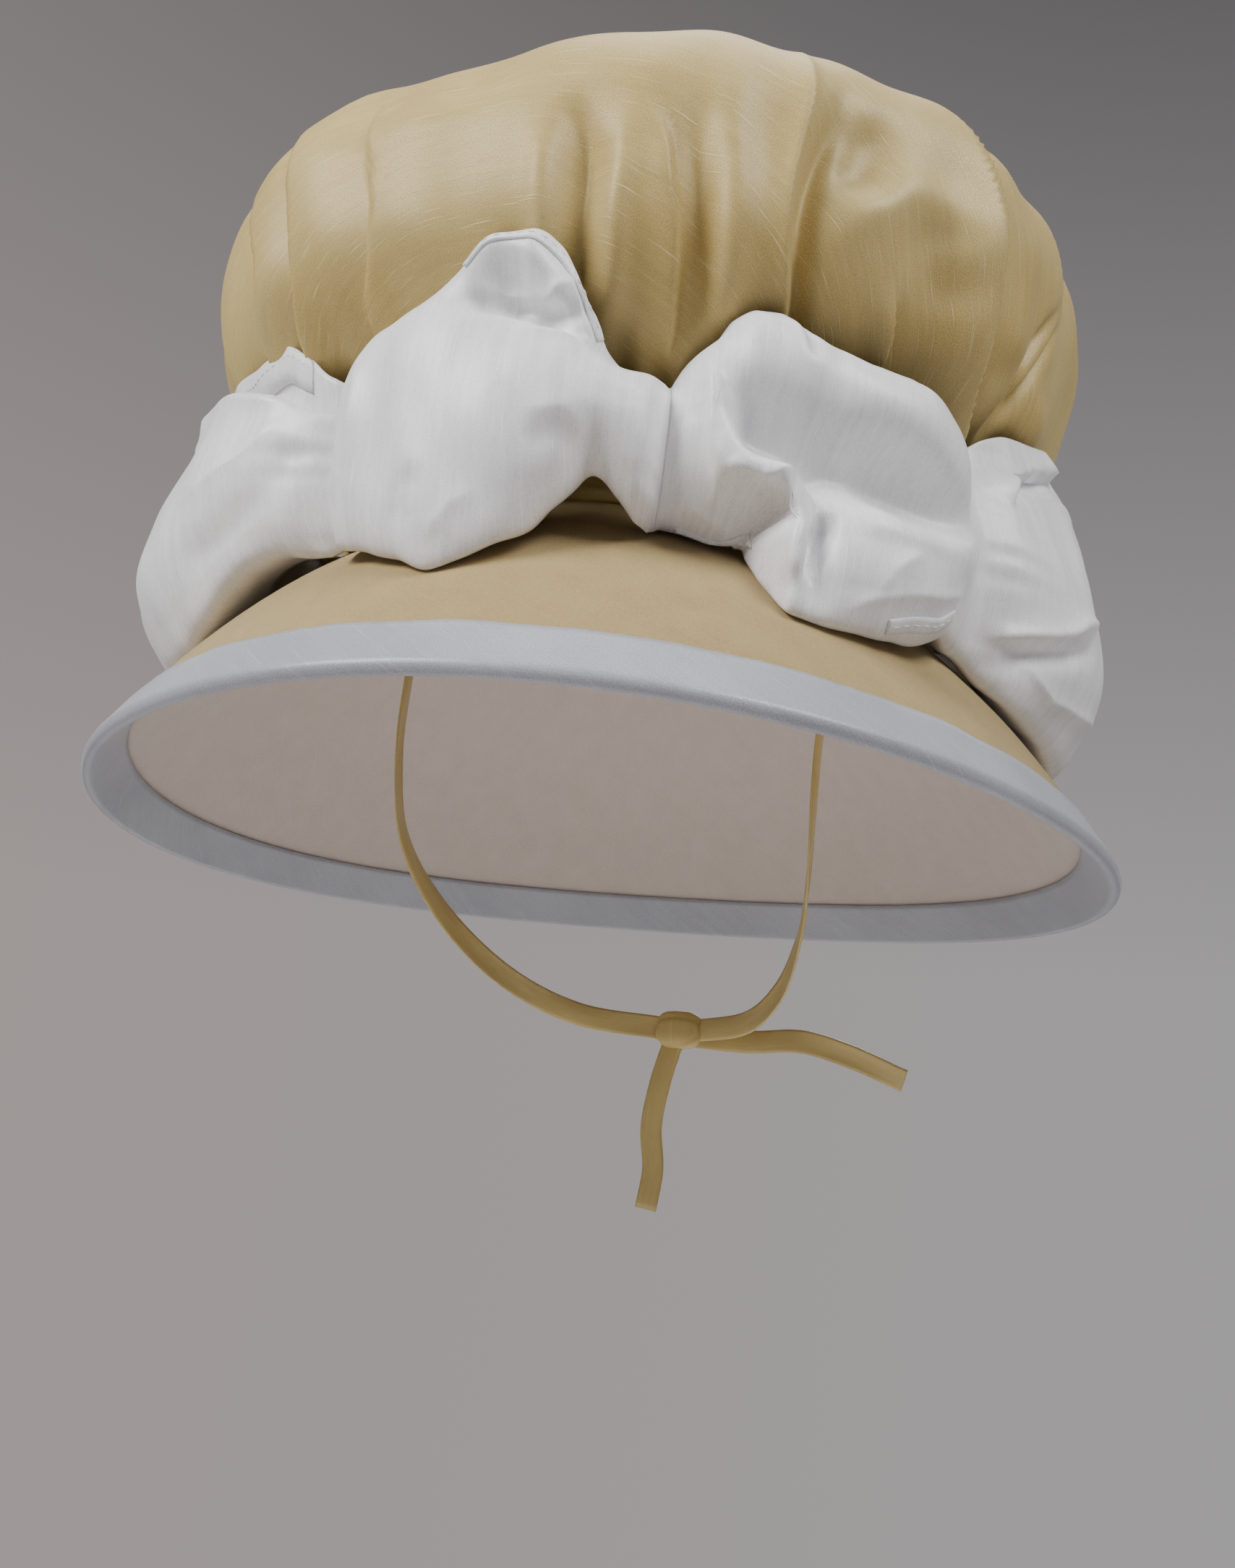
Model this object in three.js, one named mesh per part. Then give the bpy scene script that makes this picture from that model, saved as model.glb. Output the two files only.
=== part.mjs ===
// Poke bonnet with a puffed silk crown, a stiffened brim bound at its edge, a puffed silk sash round
// the crown's base and two narrow ties. Millimetres, +Z up along the crown's axis, front towards -Y,
// the wearer's left towards +X. The origin is the centre of the head opening.
import * as THREE from 'three';

// Brim
const OPENING_HALF_WIDTH = 112;
const OPENING_HALF_DEPTH = 124;
const RIM_HALF_WIDTH = 245;
const RIM_HALF_DEPTH = 241;
const RIM_DROP = 130;
const RIM_SIDE_DIP = 7.2;
const BRIM_SWELL = 11;
const BRIM_WALL = 2.6;
const LINING_WALL = 1.0;
const BINDING_WALL = 1.0;
const BINDING_WIDTH = 25;
const BINDING_FOLD_RADIUS = 3.3;
const SEAM_GAP = 0.35;
const EDGE_INSET = 3.4;
const AT_OPENING = Infinity;
const BRIM_STATIONS = [EDGE_INSET, BINDING_WIDTH, 75, 130, AT_OPENING];
const BRIM_COLUMNS = 64;

// Crown
const CROWN_WALL = 1.6;
const CROWN_COLUMNS = 72;

// Rows up the crown's outer face: height, half width, half depth and how far the row leans.
const CROWN_PROFILE = [
  { z: 0.6, halfWidth: 113.4, halfDepth: 125.4, toLeft: 0, toBack: 0 },
  { z: 13, halfWidth: 113.4, halfDepth: 125.4, toLeft: 0, toBack: 0 },
  { z: 24, halfWidth: 134, halfDepth: 143, toLeft: 0, toBack: 0 },
  { z: 50, halfWidth: 175, halfDepth: 179, toLeft: -4, toBack: 0 },
  { z: 80, halfWidth: 205, halfDepth: 205, toLeft: -6, toBack: 0 },
  { z: 114, halfWidth: 217, halfDepth: 214, toLeft: -6, toBack: 0 },
  { z: 148, halfWidth: 220, halfDepth: 213, toLeft: -2, toBack: 0 },
  { z: 178, halfWidth: 213, halfDepth: 202, toLeft: 3, toBack: 0 },
  { z: 200, halfWidth: 187, halfDepth: 176, toLeft: 6, toBack: 0 },
  { z: 213, halfWidth: 138, halfDepth: 130, toLeft: 6, toBack: 0 },
  { z: 219, halfWidth: 70, halfDepth: 66, toLeft: 6, toBack: 0 },
];
const CROWN_TOP = { x: 6, y: 0, z: 220.5 };

// Folds that fall from the crown's shoulder to its gathered base: where the fold lies at mid height,
// how far it drifts by the base, how deep and how wide it is, and between which heights it runs.
const CROWN_FOLDS = [
  { angle: -58, drift: 8, depth: 10, halfAngle: 5, low: 16, high: 180 },
  { angle: -41, drift: 5, depth: 8, halfAngle: 4, low: 20, high: 190 },
  { angle: -24, drift: 3, depth: 6, halfAngle: 4, low: 30, high: 185 },
  { angle: -12, drift: 0, depth: 16, halfAngle: 13, low: 125, high: 290 },
  { angle: 3, drift: 1, depth: 10, halfAngle: 5, low: 40, high: 180 },
  { angle: 15, drift: 2, depth: 8, halfAngle: 4, low: 20, high: 205 },
  { angle: 31, drift: -2, depth: 14, halfAngle: 4, low: 20, high: 205 },
  { angle: 45, drift: -5, depth: 8, halfAngle: 4, low: 20, high: 120 },
  { angle: 64, drift: -14, depth: 12, halfAngle: 4, low: 16, high: 180 },
  { angle: 80, drift: -12, depth: 9, halfAngle: 4, low: 16, high: 130 },
  { angle: 101, drift: -4, depth: 10, halfAngle: 5, low: 16, high: 185 },
  { angle: 124, drift: 4, depth: 9, halfAngle: 5, low: 16, high: 190 },
  { angle: 149, drift: -3, depth: 11, halfAngle: 5, low: 16, high: 180 },
  { angle: 173, drift: 3, depth: 9, halfAngle: 5, low: 16, high: 190 },
  { angle: -162, drift: -4, depth: 10, halfAngle: 5, low: 16, high: 185 },
  { angle: -136, drift: 5, depth: 11, halfAngle: 5, low: 16, high: 180 },
  { angle: -109, drift: -3, depth: 9, halfAngle: 5, low: 16, high: 190 },
  { angle: -83, drift: 4, depth: 10, halfAngle: 5, low: 16, high: 180 },
];
const FOLD_RIDGE = 0.45;
const FOLD_FADE_IN = 30;
const FOLD_FADE_OUT = 50;

// Base band
const BAND_CLEARANCE = 0.4;
const BAND_THICKNESS = 3;
const BAND_LIFT = 1.3;
const BAND_CREASE = 0.8;
const BAND_TOP = 12.4;

// Sash: the pinches that part its puffs, each with its upper and lower edge and their radii, and the
// puffs between them, each with the height and place of its upper peak and its lower sag.
const SASH_WALL = 1.2;
const STATIONS_PER_PUFF = 12;
const SASH_SECTION_STATIONS = 8;
const SASH_ROUNDNESS = 0.8;
const LEAST_SWELL = 4;
const PINCHES = [
  { angle: -88, top: 38, bottom: -20, neck: 174, hem: 148 },
  { angle: -27, top: 37, bottom: -31, neck: 186, hem: 168 },
  { angle: 20, top: 32, bottom: -22, neck: 172, hem: 148 },
  { angle: 67, top: 36, bottom: -24, neck: 176, hem: 156 },
  { angle: 119, top: 38, bottom: -20, neck: 174, hem: 150 },
  { angle: 171, top: 36, bottom: -20, neck: 174, hem: 150 },
  { angle: 222, top: 38, bottom: -20, neck: 174, hem: 150 },
  { angle: 272, top: 38, bottom: -20, neck: 174, hem: 148 },
];
const PUFFS = [
  { top: 72, topAt: 0.6, bottom: -78, bottomAt: 0.6, outer: 236, hem: 208 },
  { top: 77, topAt: 0.62, bottom: -62, bottomAt: 0.36, outer: 219, hem: 200 },
  { top: 65, topAt: 0.24, bottom: -68, bottomAt: 0.62, outer: 223, hem: 200 },
  { top: 68, topAt: 0.3, bottom: -70, bottomAt: 0.5, outer: 229, hem: 200 },
  { top: 66, topAt: 0.5, bottom: -68, bottomAt: 0.4, outer: 230, hem: 198 },
  { top: 60, topAt: 0.6, bottom: -60, bottomAt: 0.4, outer: 227, hem: 188 },
  { top: 68, topAt: 0.4, bottom: -64, bottomAt: 0.55, outer: 231, hem: 192 },
];
const PUFF_FULLNESS = 0.55;
const PUFF_EDGE_FULLNESS = 0.8;
const PUFF_PEAK_WIDTH = 0.3;
const PUFF_PEAK_SHARE = 0.6;
const PUFF_TOP_CLEARANCE = 7;
const PUFF_HEM_CLEARANCE = 5;

// Ties: narrow silk ribbons from the head opening's sides to a knot at the nape, and their free ends.
const TIE_WIDTH = 12;
const TIE_WALL = 1.0;
const TIE_STEPS = 24;
const TIE_END_STEPS = 12;
const TIE_RIGHT = [
  [-106.6, -14, -1.5], [-107, -16, -42], [-107, -17, -84], [-101, -10, -124],
  [-86, 16, -158], [-62, 50, -184], [-26, 82, -199], [15.6, 94.5, -202],
];
const TIE_LEFT = [
  [106.9, -10, -1.5], [107.4, -12, -42], [107, -10, -84], [105, 0, -124],
  [99, 26, -158], [86, 58, -184], [66, 82, -197], [40.4, 94, -202],
];
const KNOT_CENTRE = [28, 95, -202];
const KNOT_SIZE = [24, 13, 19];
const KNOT_SIDES = 14;
const KNOT_BANDS = 9;
const TIE_END_LEFT = [
  [39.6, 97.8, -205], [64, 99, -205], [94, 96, -203], [121, 93, -209], [148, 90, -219],
];
const TIE_END_RIGHT = [
  [25, 95, -211.7], [19, 98, -232], [16, 102, -254], [19, 104, -276], [17, 105, -296],
];

const DEGREE = Math.PI / 180;
const vector = (x, y, z) => new THREE.Vector3(x, y, z);
const mix = (a, b, t) => a + (b - a) * t;

// A smooth step from 0 to 1 between two edges.
function smoothStep(low, high, value) {
  const t = Math.min(1, Math.max(0, (value - low) / (high - low)));
  return t * t * (3 - 2 * t);
}

// The angle from b to a, taken the short way round, in degrees.
function angleBetween(a, b) {
  return ((a - b + 540) % 360 + 360) % 360 - 180;
}

// Evenly spaced angles all the way round, in degrees.
function anglesRound(count) {
  return Array.from({ length: count }, (_, i) => (i * 360) / count);
}

// A point on an ellipse about the origin; the angle runs from the front towards the wearer's left.
function ellipsePoint(angle, halfWidth, halfDepth, z) {
  return vector(halfWidth * Math.sin(angle * DEGREE), -halfDepth * Math.cos(angle * DEGREE), z);
}

// Joins rings of equal length into one closed skin. Rings run anticlockwise seen from above. With
// closed true the last ring joins the first; otherwise the two ends are closed by a point each.
function skinOfRings(rings, closed, poles = []) {
  const count = rings[0].length;
  const positions = rings.flat().flatMap((p) => [p.x, p.y, p.z]);
  const index = [];
  const bands = closed ? rings.length : rings.length - 1;
  for (let band = 0; band < bands; band += 1) {
    const lower = band * count;
    const upper = ((band + 1) % rings.length) * count;
    for (let i = 0; i < count; i += 1) {
      const j = (i + 1) % count;
      index.push(lower + i, lower + j, upper + j, lower + i, upper + j, upper + i);
    }
  }
  poles.forEach((pole, end) => {
    const tip = positions.length / 3;
    positions.push(pole.x, pole.y, pole.z);
    const ring = end === 0 ? 0 : (rings.length - 1) * count;
    for (let i = 0; i < count; i += 1) {
      const j = (i + 1) % count;
      if (end === 0) index.push(tip, ring + j, ring + i);
      else index.push(tip, ring + i, ring + j);
    }
  });
  const geometry = new THREE.BufferGeometry();
  geometry.setAttribute('position', new THREE.Float32BufferAttribute(positions, 3));
  geometry.setIndex(index);
  geometry.computeVertexNormals();
  return geometry;
}

// Moves each point of a grid of rings inwards along the grid's own normal by the wall's thickness.
function insetRings(rings, wall) {
  const last = rings.length - 1;
  const count = rings[0].length;
  return rings.map((ring, row) => ring.map((point, i) => {
    const along = ring[(i + 1) % count].clone().sub(ring[(i + count - 1) % count]);
    const across = rings[Math.min(row + 1, last)][i].clone().sub(rings[Math.max(row - 1, 0)][i]);
    const outward = along.cross(across).normalize();
    return point.clone().addScaledVector(outward, -wall);
  }));
}

// The brim's frame at an angle: a straight slant from the opening to the rim, and its outward normal.
function brimSlant(angle) {
  const inner = ellipsePoint(angle, OPENING_HALF_WIDTH, OPENING_HALF_DEPTH, 0);
  const rimZ = -RIM_DROP + RIM_SIDE_DIP * Math.cos(2 * angle * DEGREE);
  const rim = ellipsePoint(angle, RIM_HALF_WIDTH, RIM_HALF_DEPTH, rimZ);
  const slant = rim.clone().sub(inner);
  const length = slant.length();
  const round = vector(Math.cos(angle * DEGREE), Math.sin(angle * DEGREE), 0);
  const normal = slant.clone().cross(round).normalize();
  if (normal.z < 0) normal.negate();
  return { inner, slant, length, normal };
}

// A point of the brim: how far it lies in from the rim along the slant, and its lift off the top face.
function brimPoint(angle, fromRim, lift) {
  const { inner, slant, length, normal } = brimSlant(angle);
  const share = Math.max(0, 1 - fromRim / length);
  const swell = BRIM_SWELL * Math.sin(Math.PI * share);
  return inner.addScaledVector(slant, share).addScaledVector(normal, swell + lift);
}

// Carries a section of places on the brim, each an inset and a lift, all the way round it.
function brimRings(section) {
  const angles = anglesRound(BRIM_COLUMNS);
  return section.map(([fromRim, lift]) => angles.map((angle) => brimPoint(angle, fromRim, lift)));
}

function makeBrim() {
  const top = BRIM_STATIONS.map((station) => [station, 0]);
  const under = [...BRIM_STATIONS].reverse().map((station) => [station, -BRIM_WALL]);
  return skinOfRings(brimRings([...top, ...under]), true);
}

function makeLining() {
  const face = -BRIM_WALL - SEAM_GAP;
  const top = BRIM_STATIONS.map((station) => [station, face]);
  const under = [...BRIM_STATIONS].reverse().map((station) => [station, face - LINING_WALL]);
  return skinOfRings(brimRings([...top, ...under]), true);
}

// A U-shaped strip that wraps the rim, with a round fold at the outside.
function makeBinding() {
  const topFace = SEAM_GAP + BINDING_WALL;
  const underFace = -(BRIM_WALL + SEAM_GAP + LINING_WALL + SEAM_GAP + BINDING_WALL);
  const middle = (topFace + underFace) / 2;
  const outerHalf = (topFace - underFace) / 2;
  const innerHalf = outerHalf - BINDING_WALL;
  const turn = BINDING_FOLD_RADIUS;
  const fold = (half, reach) => [-45, 0, 45].map((a) => [
    turn - reach * Math.cos(a * DEGREE),
    middle + half * Math.sin(a * DEGREE),
  ]);
  const section = [
    [turn, underFace],
    ...fold(outerHalf, turn),
    [turn, topFace],
    [BINDING_WIDTH, topFace],
    [BINDING_WIDTH, topFace - BINDING_WALL],
    [turn, topFace - BINDING_WALL],
    [BINDING_WALL, middle],
    [turn, middle - innerHalf],
    [BINDING_WIDTH, middle - innerHalf],
    [BINDING_WIDTH, underFace],
  ];
  return skinOfRings(brimRings(section), true);
}

// How far the folds pull the crown in at an angle and height: each fold is a narrow valley with a
// soft ridge on either side of it.
function foldDepth(angle, z) {
  let depth = 0;
  for (const fold of CROWN_FOLDS) {
    const middle = (fold.low + fold.high) / 2;
    const line = fold.angle + (fold.drift * (middle - z)) / (fold.high - fold.low);
    const off = angleBetween(angle, line) / fold.halfAngle;
    const valley = Math.exp(-(off ** 2) / 2) - FOLD_RIDGE * Math.exp(-(off ** 2) / 8);
    const fadeIn = smoothStep(fold.low, fold.low + FOLD_FADE_IN, z);
    const fadeOut = 1 - smoothStep(fold.high - FOLD_FADE_OUT, fold.high, z);
    depth += fold.depth * valley * fadeIn * fadeOut;
  }
  return depth;
}

// A point of the crown's outer face, on one row of its profile.
function crownPoint(angle, row) {
  const inward = foldDepth(angle, row.z);
  const point = ellipsePoint(angle, row.halfWidth - inward, row.halfDepth - inward, row.z);
  return point.add(vector(row.toLeft, row.toBack, 0));
}

function makeCrown() {
  const angles = anglesRound(CROWN_COLUMNS);
  const outer = CROWN_PROFILE.map((row) => angles.map((angle) => crownPoint(angle, row)));
  const inner = insetRings(outer, CROWN_WALL).reverse();
  inner[inner.length - 1].forEach((point) => {
    point.z = CROWN_PROFILE[0].z;
  });
  const poles = [
    vector(CROWN_TOP.x, CROWN_TOP.y, CROWN_TOP.z - CROWN_WALL),
    vector(CROWN_TOP.x, CROWN_TOP.y, CROWN_TOP.z),
  ];
  return skinOfRings([...inner, ...outer], false, poles);
}

// The crown's greater half width at a height, for what lies against it.
function crownRadius(z) {
  const rows = CROWN_PROFILE;
  const above = rows.findIndex((row) => row.z >= z);
  const reach = (row) => Math.max(row.halfWidth, row.halfDepth);
  const share = (z - rows[above - 1].z) / (rows[above].z - rows[above - 1].z);
  return mix(reach(rows[above - 1]), reach(rows[above]), share);
}

// A creased ring of silk at the foot of the crown, standing on the brim's inner edge.
function makeBaseBand() {
  const angles = anglesRound(CROWN_COLUMNS);
  const start = CROWN_PROFILE[0];
  const slope = RIM_DROP / (RIM_HALF_WIDTH - OPENING_HALF_WIDTH);
  const face = BAND_CLEARANCE;
  const back = BAND_CLEARANCE + BAND_THICKNESS;
  const foot = (out) => BAND_LIFT - slope * (out + start.halfWidth - OPENING_HALF_WIDTH);
  const height = (share) => mix(foot(back), BAND_TOP, share);
  const section = [
    [face, foot(face)],
    [back, foot(back)],
    [back + BAND_CREASE, height(0.45)],
    [back - BAND_CREASE, height(0.7)],
    [back - BAND_CREASE, BAND_TOP],
    [face, BAND_TOP],
  ];
  const rings = section.map(([out, z]) => angles.map((angle) => (
    ellipsePoint(angle, start.halfWidth + out, start.halfDepth + out, z)
  )));
  return skinOfRings(rings, true);
}

// The height of the brim's top face under a point at an angle and radius.
function brimHeight(angle, radius) {
  const inner = brimPoint(angle, AT_OPENING, 0);
  const rim = brimPoint(angle, 0, 0);
  const innerRadius = Math.hypot(inner.x, inner.y);
  const share = (radius - innerRadius) / (Math.hypot(rim.x, rim.y) - innerRadius);
  const swell = BRIM_SWELL * Math.SQRT2 * Math.sin(Math.PI * share);
  return share * rim.z + swell;
}

// The sash's section at a share of one puff: pinched at both ends, swollen between them.
function sashSection(puff, from, to, share) {
  const arch = Math.sin(Math.PI * share);
  const full = arch ** PUFF_FULLNESS;
  const hump = (at) => arch ** PUFF_EDGE_FULLNESS * (
    1 - PUFF_PEAK_SHARE + PUFF_PEAK_SHARE * Math.exp(-(((share - at) / PUFF_PEAK_WIDTH) ** 2))
  );
  const ends = (key) => mix(from[key], to[key], share);
  const angle = ends('angle');
  const top = mix(ends('top'), puff.top, hump(puff.topAt));
  const hem = mix(ends('hem'), puff.hem, hump(puff.bottomAt));
  const sag = mix(ends('bottom'), puff.bottom, hump(puff.bottomAt));
  const bottom = Math.max(sag, brimHeight(angle, hem) + PUFF_HEM_CLEARANCE);
  const neck = Math.max(ends('neck'), crownRadius(top) + PUFF_TOP_CLEARANCE);
  return { angle, top, bottom, hem, neck, outer: mix(ends('neck'), puff.outer, full) };
}

// A ring of points for each station of the section, from the lower hem up to the upper one.
function sashRings() {
  const rings = Array.from({ length: SASH_SECTION_STATIONS }, () => []);
  PUFFS.forEach((puff, number) => {
    for (let step = 0; step < STATIONS_PER_PUFF; step += 1) {
      const share = (1 - Math.cos((Math.PI * step) / STATIONS_PER_PUFF)) / 2;
      const cut = sashSection(puff, PINCHES[number], PINCHES[number + 1], share);
      const swell = Math.max(LEAST_SWELL, cut.outer - (cut.hem + cut.neck) / 2);
      for (let k = 0; k < SASH_SECTION_STATIONS; k += 1) {
        const t = k / (SASH_SECTION_STATIONS - 1);
        const turn = (t - 0.5) * Math.PI;
        const radius = mix(cut.hem, cut.neck, t) + swell * Math.cos(turn) ** SASH_ROUNDNESS;
        const z = mix(cut.bottom, cut.top, (1 + Math.sin(turn)) / 2);
        rings[k].push(ellipsePoint(cut.angle, radius, radius, z));
      }
    }
  });
  return rings;
}

function makeSash() {
  const outer = sashRings();
  const inner = insetRings(outer, SASH_WALL).reverse();
  return skinOfRings([...outer, ...inner], true);
}

// A flat ribbon along a smooth curve through a route, its face turned away from the bonnet's axis.
function makeRibbon(route, steps) {
  const curve = new THREE.CatmullRomCurve3(route.map((p) => vector(...p)));
  const corners = [[-1, -1], [1, -1], [1, 1], [-1, 1]];
  const rings = [];
  for (let step = 0; step <= steps; step += 1) {
    const centre = curve.getPointAt(step / steps);
    const forward = curve.getTangentAt(step / steps);
    const face = vector(centre.x, centre.y, 0).projectOnPlane(forward).normalize();
    const across = face.clone().cross(forward);
    rings.push(corners.map(([side, level]) => centre.clone()
      .addScaledVector(across, (side * TIE_WIDTH) / 2)
      .addScaledVector(face, (level * TIE_WALL) / 2)));
  }
  return skinOfRings(rings, false, [curve.getPointAt(0), curve.getPointAt(1)]);
}

function makeKnot() {
  const knot = new THREE.SphereGeometry(0.5, KNOT_SIDES, KNOT_BANDS);
  knot.scale(...KNOT_SIZE);
  knot.translate(...KNOT_CENTRE);
  return knot;
}

const SILK_YELLOW = { color: 0xe3d3a0, roughness: 0.42, metalness: 0 };
const BRIM_YELLOW = { color: 0xeadfbb, roughness: 0.8, metalness: 0 };
const SILK_WHITE = { color: 0xf4f2f0, roughness: 0.45, metalness: 0 };
const LINING_WHITE = { color: 0xe9e6e2, roughness: 0.75, metalness: 0 };

const bonnet = new THREE.Group();

function addPiece(name, geometry, finish) {
  const piece = new THREE.Mesh(geometry, new THREE.MeshStandardMaterial(finish));
  piece.name = name;
  bonnet.add(piece);
}

addPiece('crown', makeCrown(), SILK_YELLOW);
addPiece('crown_base_band', makeBaseBand(), SILK_YELLOW);
addPiece('brim', makeBrim(), BRIM_YELLOW);
addPiece('brim_lining', makeLining(), LINING_WHITE);
addPiece('brim_binding', makeBinding(), SILK_WHITE);
addPiece('sash', makeSash(), SILK_WHITE);
addPiece('tie_right', makeRibbon(TIE_RIGHT, TIE_STEPS), SILK_YELLOW);
addPiece('tie_left', makeRibbon(TIE_LEFT, TIE_STEPS), SILK_YELLOW);
addPiece('tie_knot', makeKnot(), SILK_YELLOW);
addPiece('tie_end_left', makeRibbon(TIE_END_LEFT, TIE_END_STEPS), SILK_YELLOW);
addPiece('tie_end_right', makeRibbon(TIE_END_RIGHT, TIE_END_STEPS), SILK_YELLOW);

export default bonnet;
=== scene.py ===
"""Poke bonnet: a puffed silk crown, a bound brim, a puffed silk sash and two narrow ties, dressed
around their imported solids. Lengths are in millimetres until a mesh is made, +Z runs up the crown's
axis, the front faces -Y, and an angle runs from the front towards the wearer's left, +X, in
degrees."""

import math

import bpy
import numpy as np
from mathutils import Matrix


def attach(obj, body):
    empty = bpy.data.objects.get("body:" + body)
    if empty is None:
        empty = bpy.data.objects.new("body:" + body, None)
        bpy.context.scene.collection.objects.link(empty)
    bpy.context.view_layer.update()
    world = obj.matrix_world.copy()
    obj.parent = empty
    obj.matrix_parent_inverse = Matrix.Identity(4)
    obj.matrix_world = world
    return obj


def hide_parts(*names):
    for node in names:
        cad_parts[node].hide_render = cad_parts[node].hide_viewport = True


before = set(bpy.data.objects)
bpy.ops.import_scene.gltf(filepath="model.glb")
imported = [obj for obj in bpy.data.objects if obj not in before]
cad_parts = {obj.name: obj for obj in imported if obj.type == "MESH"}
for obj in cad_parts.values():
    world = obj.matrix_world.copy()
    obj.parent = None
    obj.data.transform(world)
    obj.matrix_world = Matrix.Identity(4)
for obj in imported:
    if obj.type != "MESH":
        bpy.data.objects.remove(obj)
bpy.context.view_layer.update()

MM = 0.001
BODY = "root"

# Brim, as in the part's source
OPENING_HALF_WIDTH = 112
OPENING_HALF_DEPTH = 124
RIM_HALF_WIDTH = 245
RIM_HALF_DEPTH = 241
RIM_RADIUS = (RIM_HALF_WIDTH + RIM_HALF_DEPTH) / 2
RIM_DROP = 130
RIM_SIDE_DIP = 7.2
BRIM_SWELL = 11
BRIM_WALL = 2.6
LINING_WALL = 1.0
SEAM_GAP = 0.35
BINDING_WALL = 1.0
BINDING_WIDTH = 25
BINDING_TURN = 3.3
BINDING_STATIONS = (BINDING_WIDTH, 22, 17, 12, 8, 5, BINDING_TURN)
EDGE_INSET = 3.4
AT_OPENING = 1e9
BRIM_COLUMNS = 360

# Base band: its height and how far its faces stand off the crown's foot, then its outer face as
# shares of the height and bulges
BAND_TOP = 12.2
BAND_OUT = 3.4
BAND_IN = 0.6
BAND_FOOT = 1.3
BAND_PLEAT = 0.36
BAND_CREASE = 0.2
BAND_LENGTH = 760
BAND_COLUMNS = 288
BAND_PROFILE = [(0, 0), (0.12, 0.7), (0.28, 1.1), (0.42, 0.3), (0.5, -0.6), (0.58, 0.2),
                (0.72, 0.8), (0.86, 0.5), (0.95, 0.1), (1, -1.2)]

# Folds: the least distance across at which one still counts, the length over which its foot fades,
# the round of an edge's crest, half the width of a step's cut, a step's hollow as shares of the
# step's size and width, and the millimetres along a path for a degree and for a millimetre up
FOLD_REACH = 14
FADE_OUT = 20
CREST_ROUND = 0.6
STEP_BLEND = 1.3
STEP_HOLLOW = 0.4
STEP_HOLLOW_WIDTH = 0.45
PATH_SCALE = (3.4, 1)

# Crowding of the crown's columns: the per cent of slopes that count in full, the half widths of
# their blur along and across a row in grid steps, the pull of slope, and the pull, middle and half
# width of the side that is seen
STEEPEST = 99.5
SLOPE_BLUR = (12, 6)
SLOPE_PULL = 5.0
SEEN_PULL = 0.5
SEEN_SIDE = 16
SEEN_HALF = 95.0

# Crown: its wall, the mean radius that its patterns use, the least one that its folds use, its
# grid, the arc over which its folds come in, its gathers and wrinkles, and its top's waves and how
# far from the middle they start
CROWN_WALL = 1.2
CROWN_RADIUS = 210
CROWN_LEAST_RADIUS = 30
CROWN_GRID_ROWS = 108
CROWN_GRID_COLUMNS = 440
CROWN_FINE_COLUMNS = 2160
CROWN_FADE_IN = 62
GATHER_COUNT = 62
GATHER_HEIGHT = 1.5
WRINKLE_HEIGHT = 1.3
WRINKLE_SIZE = 60
TOP_WAVE_HEIGHT = 1.6
TOP_WAVE_SIZE = 130
TOP_EASE = 60

# Rows up the crown's outer face: height, half width, half depth and lean to the left. The last row
# mirrors the one before the top, so that the curve through them is level there.
CROWN_ROWS = [
    (0.6, 113.4, 125.4, 0),
    (13, 113.4, 125.4, 0),
    (24, 136, 150, 0),
    (50, 178, 189, -4),
    (80, 205, 210, -6),
    (114, 217, 214, -6),
    (148, 219, 212, -3),
    (177, 209, 199, -1),
    (198, 182, 170, -3),
    (211, 134, 125, -7),
    (217.5, 68, 64, -9),
    (219, 0, 0, -9),
    (217.5, -68, -64, -9),
]

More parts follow.
